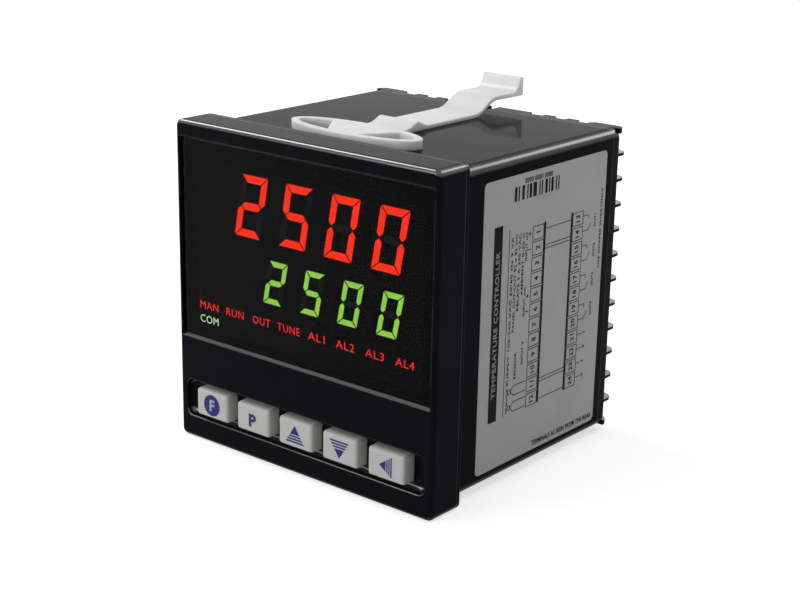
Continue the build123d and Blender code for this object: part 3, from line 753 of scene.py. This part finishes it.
@dataclass
class PrintSheet:
    """Flat print: closed prisms as thin as ink, gathered into one piece. Sketch units are millimetres."""

    name: str
    origin: Vector
    right: Vector
    up: Vector
    thickness: float = INK_THICKNESS
    lift: float = INK_LIFT
    mesh: bmesh.types.BMesh = field(default_factory=bmesh.new)

    def point(self, u: float, v: float, height: float) -> Vector:
        """Place a sketch point in the frame, at a height in metres above the surface."""
        outward = self.right.cross(self.up)
        return self.origin + self.right * (u * MM) + self.up * (v * MM) + outward * height

    def outline(self, points: Sequence[Point]) -> None:
        """Print a filled outline.

        Args:
            points: Its corners, counter-clockwise.
        """
        low = [self.mesh.verts.new(self.point(u, v, self.lift)) for u, v in points]
        high = [self.mesh.verts.new(self.point(u, v, self.lift + self.thickness)) for u, v in points]
        self.mesh.faces.new(high)
        self.mesh.faces.new(low[::-1])
        for index in range(len(points)):
            after = (index + 1) % len(points)
            self.mesh.faces.new((low[index], low[after], high[after], high[index]))

    def block(self, left: float, bottom: float, width: float, height: float) -> None:
        """Print a filled rectangle, given by its lower left corner and its size."""
        right, top = left + width, bottom + height
        self.outline([(left, bottom), (right, bottom), (right, top), (left, top)])

    def box(self, left: float, bottom: float, width: float, height: float, line: float) -> None:
        """Print a box of four lines.

        Args:
            left: Left edge.
            bottom: Bottom edge.
            width: Width.
            height: Height.
            line: Width of the lines.
        """
        self.block(left, bottom, width, line)
        self.block(left, bottom + height - line, width, line)
        self.block(left, bottom + line, line, height - 2 * line)
        self.block(left + width - line, bottom + line, line, height - 2 * line)

    def run(self, points: Sequence[Point], line: float) -> None:
        """Print straight strokes from point to point.

        Args:
            points: Ends of the strokes.
            line: Width of the line.
        """
        for (u0, v0), (u1, v1) in zip(points, points[1:]):
            length = math.hypot(u1 - u0, v1 - v0)
            side_u, side_v = -(v1 - v0) / length * line / 2, (u1 - u0) / length * line / 2
            self.outline([
                (u0 - side_u, v0 - side_v), (u1 - side_u, v1 - side_v),
                (u1 + side_u, v1 + side_v), (u0 + side_u, v0 + side_v),
            ])

    def circle(self, u: float, v: float, radius: float, corners: int) -> list[Point]:
        """Return so many corners of a circle, counter-clockwise, from its centre and radius."""
        turns = [2 * math.pi * index / corners for index in range(corners)]
        return [(u + radius * math.cos(turn), v + radius * math.sin(turn)) for turn in turns]

    def disc(self, u: float, v: float, radius: float, corners: int = 40) -> None:
        """Print a disc."""
        self.outline(self.circle(u, v, radius, corners))

    def ring(self, u: float, v: float, radius: float, line: float, corners: int = 24) -> None:
        """Print a ring, whose radius is that of the middle of its line."""
        edge = self.circle(u, v, radius, corners)
        self.run([*edge, edge[0]], line)

    def text(
        self, words: str, u: float, v: float, height: float, width: float = 0.0, turn: float = 0.0,
        bold: float = 0.02,
    ) -> None:
        """Print words about a middle point.

        Args:
            words: What is printed.
            u: Middle, to the right.
            v: Middle, upward.
            height: Height of a capital.
            width: Whole width, or 0 for the font's own.
            turn: Turn of the words, in degrees counter-clockwise.
            bold: Thickening of the strokes, in heights.
        """
        curve = bpy.data.curves.new(self.name + "_text", "FONT")
        curve.body = words
        curve.size = 1.0
        curve.space_character = 1.1
        curve.offset = bold
        curve.extrude = 0.5
        curve.resolution_u = 3
        carrier = put(curve.name, curve)
        shapes = bpy.context.evaluated_depsgraph_get()
        letters = bpy.data.meshes.new_from_object(carrier.evaluated_get(shapes))
        low = Vector([min(vertex.co[axis] for vertex in letters.vertices) for axis in range(3)])
        high = Vector([max(vertex.co[axis] for vertex in letters.vertices) for axis in range(3)])
        middle = (low + high) / 2
        scale_v = height / (high.y - low.y)
        scale_u = width / (high.x - low.x) if width else scale_v
        spin = Matrix.Rotation(math.radians(turn), 2)
        for vertex in letters.vertices:
            flat = spin @ Vector(((vertex.co.x - middle.x) * scale_u, (vertex.co.y - middle.y) * scale_v))
            raised = self.lift + self.thickness * (vertex.co.z + curve.extrude)
            vertex.co = self.point(u + flat.x, v + flat.y, raised)
        self.mesh.from_mesh(letters)
        bpy.data.objects.remove(carrier)
        bpy.data.curves.remove(curve)
        bpy.data.meshes.remove(letters)

    def finish(self, body: str, finish: Finish, slot: str = "") -> bpy.types.Object:
        """Turn the print into a piece that rides on a body.

        Args:
            body: Name of the CAD body.
            finish: Its finish.
            slot: The record's material slot, or nothing; not used.

        Returns:
            The piece.
        """
        data = bpy.data.meshes.new(self.name)
        bmesh.ops.recalc_face_normals(self.mesh, faces=self.mesh.faces)
        self.mesh.to_mesh(data)
        self.mesh.free()
        data.materials.append(finish.material())
        piece = put(self.name, data)
        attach(piece, body)
        LOG.info("%s: %d faces on %s", self.name, len(data.polygons), body)
        return piece


def front_sheet(name: str, depth: float) -> PrintSheet:
    """Start a print that faces forward, at a depth in mm behind the bezel's front; u is x and v is z."""
    return PrintSheet(name, Vector((0, FACE_Y + depth * MM, 0)), RIGHT, UPWARD)


class Legend(Enum):
    """What a key shows."""

    FUNCTION = "function_key"
    PROGRAM = "program_key"
    RAISE = "raise_key"
    LOWER = "lower_key"
    SHIFT = "shift_key"


@dataclass
class KeyRow:
    """The five grey keys and the violet legends on their faces. Sizes in millimetres."""

    disc_radius: float = 3.25
    function_place: Point = (0.1, 0.0)
    function_height: float = 3.5
    function_bold: float = 0.03
    program_place: Point = (0.0, -0.3)
    program_height: float = 3.92
    program_width: float = 2.87
    program_bold: float = 0.045
    arrow_width: float = 7.0
    arrow_height: float = 5.2
    shift_share: float = 0.86
    solid_share: float = 0.52
    stripes: int = 3
    stripe_share: float = 0.6

    def arrow(self, turn: float, share: float) -> list[list[Point]]:
        """Draw a triangle whose base is cut into stripes.

        Args:
            turn: Turn from pointing up, in degrees counter-clockwise.
            share: Share of its full size.

        Returns:
            Outlines about the key's middle.
        """
        top = self.arrow_height / 2
        solid = self.arrow_height * self.solid_share
        pitch = (self.arrow_height - solid) / self.stripes
        bands = [(0.0, solid)]
        for index in range(self.stripes):
            start = solid + pitch * (index + 1 - self.stripe_share)
            bands.append((start, start + pitch * self.stripe_share))
        spin = Matrix.Rotation(math.radians(turn), 2) * share
        outlines = []
        for start, end in bands:
            near, far = (edge / self.arrow_height * self.arrow_width / 2 for edge in (start, end))
            corners = [(-near, top - start), (-far, top - end), (far, top - end), (near, top - start)]
            if not start:
                corners = corners[1:3] + [(0.0, top)]
            outlines.append([tuple(spin @ Vector(corner)) for corner in corners])
        return outlines

    def legend(self, legend: Legend) -> None:
        """Print one key's legend.

        Args:
            legend: The key.
        """
        low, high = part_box(legend.value)
        middle = (low + high) / 2
        face = Vector((middle.x, low.y, middle.z))
        sheet = PrintSheet(f"{legend.value}_legend", face, RIGHT, UPWARD)
        if legend is Legend.FUNCTION:
            sheet.disc(0, 0, self.disc_radius)
            letter = PrintSheet("function_key_letter", face, RIGHT, UPWARD, lift=INK_LIFT + INK_THICKNESS)
            letter.text("F", *self.function_place, self.function_height, bold=self.function_bold)
            letter.finish(legend.value, LEGEND_LIGHT)
        elif legend is Legend.PROGRAM:
            sheet.text(
                "P", *self.program_place, self.program_height, self.program_width, bold=self.program_bold
            )
        else:
            turn = {Legend.RAISE: 0.0, Legend.LOWER: 180.0, Legend.SHIFT: 90.0}[legend]
            for outline in self.arrow(turn, self.shift_share if legend is Legend.SHIFT else 1.0):
                sheet.outline(outline)
        sheet.finish(legend.value, LEGEND_INK)

    def build(self) -> None:
        """Dress the keys and print their legends."""
        for legend in Legend:
            KEY_GREY.dress(legend.value)
            self.legend(legend)


@dataclass
class SolderSide:
    """Solder joints and print on a side board's outer face. Depth and height in millimetres.

    Each group of joints is given by its middle, its pitches and its counts.
    """

    board: str
    title: str
    groups: tuple[tuple[Point, Point, Counts], ...]
    outward: float = 1.0
    radius: float = 0.55
    rise: float = 0.35
    corners: int = 12
    title_place: Point = (46.0, 10.5)
    title_height: float = 2.2
    frame_size: Point = (28.0, 4.6)
    frame_line: float = 0.2

    def build(self) -> None:
        """Set the joints and print the title in its frame."""
        low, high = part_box(self.board)
        face = Vector((high.x if self.outward > 0 else low.x, FACE_Y, 0))
        across = REARWARD * self.outward
        joints = PrintSheet(f"{self.board}_joints", face, across, UPWARD, thickness=self.rise * MM)
        for middle, pitches, counts in self.groups:
            depths, heights = (
                [centre + pitch * (index - (count - 1) / 2) for index in range(count)]
                for centre, pitch, count in zip(middle, pitches, counts)
            )
            for depth in depths:
                for height in heights:
                    joints.disc(self.outward * depth, height, self.radius, self.corners)
        joints.finish("front_module", SOLDER)
        title = PrintSheet(f"{self.board}_title", face, across, UPWARD)
        u, v = self.outward * self.title_place[0], self.title_place[1]
        width, height = self.frame_size
        title.text(self.title, u, v, self.title_height)
        title.box(u - width / 2, v - height / 2, width, height, self.frame_line)
        title.finish("front_module", WHITE_PRINT)


@dataclass
class FrontModule:
    """Bezel, smoked window, lit digits, lit words and the boards behind them. Sizes in millimetres."""

    red_words: tuple[tuple[str, float], ...] = (
        ("MAN", 7.4), ("RUN", 7.0), ("OUT", 6.9), ("TUNE", 8.6),
        ("AL1", 6.2), ("AL2", 6.7), ("AL3", 6.6), ("AL4", 6.5),
    )
    green_word: tuple[str, float] = ("COM", 7.4)
    word_pitch: float = 10.514
    word_height: float = 2.3
    word_row: float = 41.6
    second_row: float = 37.4
    first_word: float = -37.7
    film_depth: float = 2.86
    shade_film_spill: float = 0.2
    bold: float = 0.0
    solder_sides: tuple[SolderSide, ...] = (
        SolderSide("power_board", "POWER BOARD", (
            ((14.4, 48.0), (1.0, 2.54), (1, 21)),
            ((62.0, 38.5), (11.0, 20.5), (2, 3)),
            ((58.0, 38.5), (1.0, 20.5), (1, 3)),
            ((33.0, 66.0), (15.0, 3.0), (2, 5)),
            ((34.0, 30.0), (3.8, 16.0), (2, 2)),
            ((72.0, 48.0), (1.0, 7.62), (1, 10)),
        )),
        SolderSide("main_board", "MAIN BOARD", (
            ((14.4, 48.0), (1.0, 2.54), (1, 21)),
            ((55.0, 24.0), (2.54, 2.54), (6, 2)),
            ((36.0, 30.0), (5.08, 2.54), (2, 4)),
            ((72.0, 48.0), (1.0, 7.62), (1, 10)),
        ), outward=-1.0),
    )

    def dress(self) -> None:
        """Give the CAD nodes their finishes."""
        BEZEL_BLACK.dress("front_bezel")
        SEAL_RUBBER.dress("front_seal")
        WINDOW_SMOKE.dress("display_window")
        MATT_BLACK.dress("upper_display_case", "lower_display_case", "indicator_light_guide")
        RED_LIT.dress("red_segments_lit", "indicator_lamps")
        GREEN_LIT.dress("green_segments_lit")
        SEGMENT_OFF.dress("red_segments_off", "green_segments_off")
        BOARD_GREEN.dress("front_board", "main_board", "power_board")
        SCREW_STEEL.dress("board_screws")
        CHIP_RESIN.dress("controller_chips", "key_switches", "board_headers")
        RELAY_BLUE.dress("relays")
        FERRITE.dress("supply_transformer")
        CAN_SLEEVE.dress("supply_capacitors")

    def mask(self) -> None:
        """Lay black film round the displays, a dark sheet that paints the shade inside the closed case: it
        hides the boards, the lamps and their cells.
        """
        guide_low, guide_high = (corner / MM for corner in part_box("indicator_light_guide"))
        sheet = PrintSheet("display_shade_film", Vector((0, guide_low.y * MM, 0)), RIGHT, UPWARD)
        left, right = guide_low.x - self.shade_film_spill, guide_high.x + self.shade_film_spill
        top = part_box("upper_display_case")[1].z / MM + self.shade_film_spill
        for display in ("upper_display_case", "lower_display_case"):
            low, high = (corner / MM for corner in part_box(display))
            sheet.block(left, high.z, right - left, top - high.z)
            for near, far in ((left, low.x), (high.x, right)):
                if far - near > self.shade_film_spill:
                    sheet.block(near, low.z, far - near, high.z - low.z)
            top = low.z
        sheet.block(left, guide_low.z, right - left, top - guide_low.z)
        sheet.finish("front_module", MATT_BLACK)

    def words(self) -> None:
        """Place the lit words behind the window."""
        red = front_sheet("indicator_words_red", self.film_depth)
        for index, (word, width) in enumerate(self.red_words):
            middle = self.first_word + self.word_pitch * index
            red.text(word, middle, self.word_row, self.word_height, width, bold=self.bold)
        red.finish("front_module", RED_WORD, "red_segments_lit")
        green = front_sheet("indicator_words_green", self.film_depth)
        word, width = self.green_word
        green.text(word, self.first_word, self.second_row, self.word_height, width, bold=self.bold)
        green.finish("front_module", GREEN_WORD, "green_segments_lit")

    def build(self) -> None:
        """Dress the module and add its black film of painted shade, its words and its solder joints."""
        self.dress()
        # Black film that paints the shade behind the window.
        self.mask()
        self.words()
        for side in self.solder_sides:
            side.build()


@dataclass
class LabelArtwork:
    """Print of the side label: title bar, bar code and two columns of numbered cells. Sizes in millimetres.

    A place is a depth behind the bezel's front and a height. A note is its words, its place and its length.
    """

    line: float = 0.22
    bar: tuple[float, float, float, float] = (26.5, 20.0, 3.8, 55.8)
    title: str = "TEMPERATURE CONTROLLER"
    title_height: float = 1.8
    title_length: float = 42.0
    note_height: float = 0.95
    notes: tuple[tuple[str, float, float, float], ...] = (
        ("SUPPLY 100-240 VAC 50/60 Hz 9 VA", 35.0, 50.3, 43.0),
        ("PANEL CUT-OUT 92 x 92 mm", 36.7, 58.2, 28.0),
        ("RELAYS 3 A 250 VAC", 38.4, 61.0, 22.0),
        ("AMBIENT 0-50 C", 40.1, 63.0, 18.0),
        ("FUSE 200 mA SLOW", 35.0, 24.4, 7.6),
        ("INPUT mV", 41.6, 67.8, 8.4),
        ("INPUT mA", 41.6, 52.0, 8.4),
        ("INPUT V", 41.6, 37.0, 7.0),
        ("SENSOR", 38.4, 34.0, 8.0),
        ("USE COPPER WIRE ONLY", 78.6, 66.0, 24.0),
    )
    rule: tuple[Point, ...] = ((33.5, 20.0), (33.5, 74.0))
    footer: str = "TERMINALS AS SEEN FROM THE REAR"
    footer_place: Point = (63.6, 7.8)
    footer_size: Point = (31.0, 1.5)
    footer_bold: float = 0.03
    columns: tuple[tuple[float, int], ...] = ((44.3, 1), (63.9, 13))
    column_bottom: float = 19.9
    column_top: float = 73.3
    rows: int = 12
    cell_width: float = 5.4
    cell_gap: float = 0.45
    number_height: float = 1.9
    number_drop: float = 0.2
    edge_width: float = 0.8
    edge_gap: float = 0.1
    contact_rows: tuple[int, ...] = (0, 2, 4, 6)
    contact_start: float = 69.4
    contact_end: float = 72.0
    contact_reach: Point = (1.6, 2.0)
    contact_drop: float = 1.1
    contact_word: float = 75.6
    contact_height: float = 1.1
    power_rows: tuple[int, ...] = (8, 9, 10, 11)
    power_end: float = 71.6
    power_sign: float = 72.8
    input_rows: tuple[int, ...] = (0, 1, 4, 5)
    input_sign: float = 43.0
    sign_size: float = 1.2
    minus_height: float = 0.3
    sensors: tuple[float, ...] = (20.6, 25.4)
    sensor_start: float = 44.0
    sensor_bend: float = 38.2
    sensor_tip: float = 36.4
    sensor_width: float = 2.8
    sensor_ring: Point = (36.2, 0.7)
    links: tuple[float, ...] = (71.2, 66.4, 65.4, 27.1, 26.1, 20.9)
    link_ends: Point = (50.6, 63.2)
    code: str = "1101001100101101110010100110101100101"
    code_place: Point = (35.1, 81.4)
    code_step: float = 0.57
    code_share: float = 0.9
    code_height: float = 4.0
    digits: str = "0000 0000 0000"
    digits_place: Point = (46.2, 86.5)
    digits_size: Point = (13.0, 1.5)

    @property
    def pitch(self) -> float:
        """Distance from row to row."""
        return (self.column_top - self.column_bottom) / self.rows

    def level(self, row: int) -> float:
        """Return the height of the middle of a row, counted from the top."""
        return self.column_top - self.pitch * (row + 0.5)

    def sign(self, sheet: PrintSheet, plus: bool, u: float, row: int) -> None:
        """Print a plus or a minus beside a row."""
        height = self.sign_size if plus else self.minus_height
        sheet.text("+" if plus else "-", u, self.level(row), height, self.sign_size)

    def cells(self, sheet: PrintSheet) -> None:
        """Print the two columns of numbered cells, each with a thick inner edge.

        Args:
            sheet: The label's print.
        """
        height = self.column_top - self.column_bottom
        for left, first in self.columns:
            centre = left + self.cell_width / 2
            for row in range(self.rows):
                bottom = self.column_top - self.pitch * (row + 1)
                sheet.box(left, bottom, self.cell_width, self.pitch - self.cell_gap, self.line)
                middle = bottom + self.pitch / 2 - self.number_drop
                sheet.text(str(first + row), centre, middle, self.number_height, turn=90)
            side = self.cell_width + self.edge_gap if first == 1 else -self.edge_width - self.edge_gap
            sheet.block(left + side, self.column_bottom, self.edge_width, height)

    def outputs(self, sheet: PrintSheet) -> None:
        """Print the contacts and the signs beside the second column.

        Args:
            sheet: The label's print.
        """
        start, end = self.contact_start, self.contact_end
        for row in self.contact_rows:
            upper, lower = self.level(row), self.level(row + 1)
            tip = (end + self.contact_reach[0], lower + self.contact_reach[1])
            sheet.run([(start, upper), (end, upper), (end, upper - self.contact_drop)], self.line)
            sheet.run([(start, lower), (end, lower), tip], self.line)
            middle = (upper + lower) / 2
            sheet.text(f"OUT{row // 2 + 1}", self.contact_word, middle, self.contact_height, turn=90)
        for row in self.power_rows:
            sheet.run([(start, self.level(row)), (self.power_end, self.level(row))], self.line)
            self.sign(sheet, row % 2 == 1, self.power_sign, row)

    def inputs(self, sheet: PrintSheet) -> None:
        """Print the signs of the sensor inputs beside the first column, and the links between the columns.

        Args:
            sheet: The label's print.
        """
        for row in self.input_rows:
            self.sign(sheet, row % 2 == 0, self.input_sign, row)
        for bottom in self.sensors:
            middle = bottom + self.sensor_width / 2
            for lead in (bottom, bottom + self.sensor_width):
                bends = [(self.sensor_start, lead), (self.sensor_bend, lead), (self.sensor_tip, middle)]
                sheet.run(bends, self.line)
            sheet.ring(self.sensor_ring[0], middle, self.sensor_ring[1], self.line)
        sheet.run(self.rule, self.line)
        for height in self.links:
            sheet.run([(end, height) for end in self.link_ends], self.line)

    def bar_code(self, sheet: PrintSheet) -> None:
        """Print a bar code of no meaning with its digits.

        Args:
            sheet: The label's print.
        """
        left, bottom = self.code_place
        for index, mark in enumerate(self.code):
            if mark == "1":
                start = left + self.code_step * index
                sheet.block(start, bottom, self.code_share * self.code_step, self.code_height)
        width, height = self.digits_size
        sheet.text(self.digits, *self.digits_place, height, width, turn=180)

    def build(self) -> None:
        """Print the label."""
        face = Vector((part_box("side_label")[1].x, FACE_Y, 0))
        sheet = PrintSheet("side_label_print", face, REARWARD, UPWARD)
        left, bottom, width, height = self.bar
        sheet.block(left, bottom, width, height)
        for part in (self.cells, self.outputs, self.inputs, self.bar_code):
            part(sheet)
        for words, u, v, length in self.notes:
            sheet.text(words, u, v, self.note_height, length, turn=90)
        footer_width, footer_height = self.footer_size
        sheet.text(self.footer, *self.footer_place, footer_height, footer_width, bold=self.footer_bold)
        sheet.finish("case", LABEL_INK)
        light = PrintSheet("side_label_title", face, REARWARD, UPWARD, lift=INK_LIFT + INK_THICKNESS)
        middle = (left + width / 2, bottom + height / 2)
        light.text(self.title, *middle, self.title_height, self.title_length, turn=90)
        light.finish("case", LABEL_LIGHT)


@dataclass
class TerminalNumbers:
    """Numbers printed beside the terminals at the rear. Sizes in millimetres."""

    depth: float = 86.5
    inset: float = 21.8
    pitch: float = 7.62
    rows: int = 12
    height: float = 2.0

    def build(self) -> None:
        """Print the numbers, the lowest of each side at the top."""
        low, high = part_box("case_sleeve")
        middle = (low.z + high.z) / 2 / MM
        sheet = PrintSheet("terminal_numbers", Vector((0, FACE_Y + self.depth * MM, 0)), -RIGHT, UPWARD)
        for side, first in ((-1, 1), (1, 13)):
            for row in range(self.rows):
                level = middle + self.pitch * ((self.rows - 1) / 2 - row)
                sheet.text(str(first + row), side * self.inset, level, self.height)
        sheet.finish("case", WHITE_PRINT)


@dataclass
class CaseAssembly:
    """Case sleeve, rear terminal block with its metal, and the side label."""

    artwork: LabelArtwork = field(default_factory=LabelArtwork)
    numbers: TerminalNumbers = field(default_factory=TerminalNumbers)

    def build(self) -> None:
        """Dress the case, print its label and number its terminals."""
        BODY_BLACK.dress("case_sleeve")
        BLOCK_BLACK.dress("rear_terminal_block")
        SCREW_STEEL.dress("terminal_screws")
        CLAMP_STEEL.dress("terminal_clamps")
        CONTACT_BRASS.dress("terminal_contacts")
        LABEL_FILM.dress("side_label")
        self.artwork.build()
        self.numbers.build()


@dataclass
class PanelClamp:
    """The sliding nylon clamp."""

    def build(self) -> None:
        """Dress the clamp."""
        NYLON.dress("mounting_clamp")


@dataclass(frozen=True)
class Softbox:
    """A square area light that points at the object."""

    name: str
    place: tuple[float, float, float]
    size: float
    power: float

    def build(self, target: Vector) -> None:
        """Hang the light.

        Args:
            target: Point that it looks at.
        """
        light = bpy.data.lights.new(self.name, "AREA")
        light.shape = "SQUARE"
        light.size = self.size
        light.energy = self.power
        carrier = put(self.name, light)
        carrier.location = self.place
        carrier.rotation_mode = "QUATERNION"
        carrier.rotation_quaternion = (target - carrier.location).to_track_quat("-Z", "Y")


@dataclass
class Studio:
    """White sweep, soft lights and the camera, whose place is in millimetres and angles in degrees."""

    floor_half: float = 4.0
    floor_colour: Colour = (0.8, 0.8, 0.8)
    floor_lift: float = 0.64
    surround_light: float = 0.45
    boxes: tuple[Softbox, ...] = (
        Softbox("key_softbox", (-0.66, -0.02, 0.78), 0.35, 3.8),
        Softbox("front_softbox", (-0.45, -0.95, 0.35), 0.5, 3.6),
        Softbox("rear_softbox", (0.22, 0.80, 0.60), 0.3, 1.8),
    )
    camera_place: tuple[float, float, float] = (289.78, -356.58, 186.23)
    camera_azimuth: float = 39.231
    camera_elevation: float = 17.473
    camera_roll: float = 1.12
    camera_lens: float = 73.02
    camera_sensor: float = 36.0
    camera_nearest: float = 0.01

    def seen(self, graph: Graph) -> Socket:
        """Tell the rays that see the background directly, in a reflection or through glass.

        Args:
            graph: Tree of the floor or the world.

        Returns:
            The socket with 1 for those rays, 0 for the rest.
        """
        path = graph.add("ShaderNodeLightPath").outputs
        mirrored = graph.math("ADD", path["Is Glossy Ray"], path["Is Transmission Ray"])
        return graph.math("ADD", path["Is Camera Ray"], mirrored)

    def floor(self) -> None:
        """Lay the pale floor."""
        half = self.floor_half
        corners = [(-half, -half, 0), (half, -half, 0), (half, half, 0), (-half, half, 0)]
        data = bpy.data.meshes.new("studio_floor")
        data.from_pydata(corners, [], [(0, 1, 2, 3)])
        material = bpy.data.materials.new("studio_floor")
        material.use_nodes = True
        graph = Graph(material.node_tree)
        lift = graph.math("MULTIPLY", self.seen(graph), self.floor_lift, clamp=False)
        graph.feed(material.node_tree.nodes["Principled BSDF"], {
            "Base Color": toned(graph, self.floor_colour, 0.2, 0.01),
            "Roughness": 1.0,
            "Specular IOR Level": 0.0,
            "Emission Color": (1.0, 1.0, 1.0),
            "Emission Strength": lift,
        })
        data.materials.append(material)
        sweep = put("studio_floor", data)
        sweep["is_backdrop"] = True

    def surroundings(self) -> None:
        """Set the white background and the soft light all round."""
        world = bpy.data.worlds.new("studio_world")
        bpy.context.scene.world = world
        world.use_nodes = True
        graph = Graph(world.node_tree)
        shown = world.node_tree.nodes["Background"]
        graph.feed(shown, {"Color": (1.0, 1.0, 1.0), "Strength": 1.0})
        lighting = graph.add("ShaderNodeBackground", {"Strength": self.surround_light})
        mixed = graph.add(
            "ShaderNodeMixShader", {0: self.seen(graph), 1: lighting.outputs[0], 2: shown.outputs[0]}
        )
        graph.feed(world.node_tree.nodes["World Output"], {"Surface": mixed.outputs[0]})

    def camera(self) -> None:
        """Set the camera up at the photograph's angle."""
        azimuth, elevation, roll = map(
            math.radians, (self.camera_azimuth, self.camera_elevation, self.camera_roll)
        )
        level = Vector((math.cos(azimuth), math.sin(azimuth), 0))
        flat = math.cos(elevation)
        back = Vector((math.sin(azimuth) * flat, -math.cos(azimuth) * flat, math.sin(elevation)))
        upright = back.cross(level)
        across = math.cos(roll) * level + math.sin(roll) * upright
        over = math.cos(roll) * upright - math.sin(roll) * level
        data = bpy.data.cameras.new("studio_camera")
        data.sensor_width = self.camera_sensor
        data.lens = self.camera_lens
        data.clip_start = self.camera_nearest
        camera = put("studio_camera", data)
        turn = Matrix((across, over, back)).transposed().to_4x4()
        camera.matrix_world = Matrix.Translation(Vector(self.camera_place) * MM) @ turn
        bpy.context.scene.camera = camera

    def build(self) -> None:
        """Make the floor, the surroundings, the lights and the camera."""
        low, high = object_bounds()
        self.floor()
        self.surroundings()
        for box in self.boxes:
            box.build((low + high) / 2)
        self.camera()
        bpy.context.scene.view_settings.view_transform = "Standard"


def main() -> None:
    """Dress the controller and set up its studio."""
    logging.basicConfig(level=logging.INFO, format="%(name)s: %(message)s")
    for assembly in (CaseAssembly(), FrontModule(), KeyRow(), PanelClamp(), Studio()):
        assembly.build()
        LOG.info("built %s", type(assembly).__name__)


if __name__ == "__main__":
    main()
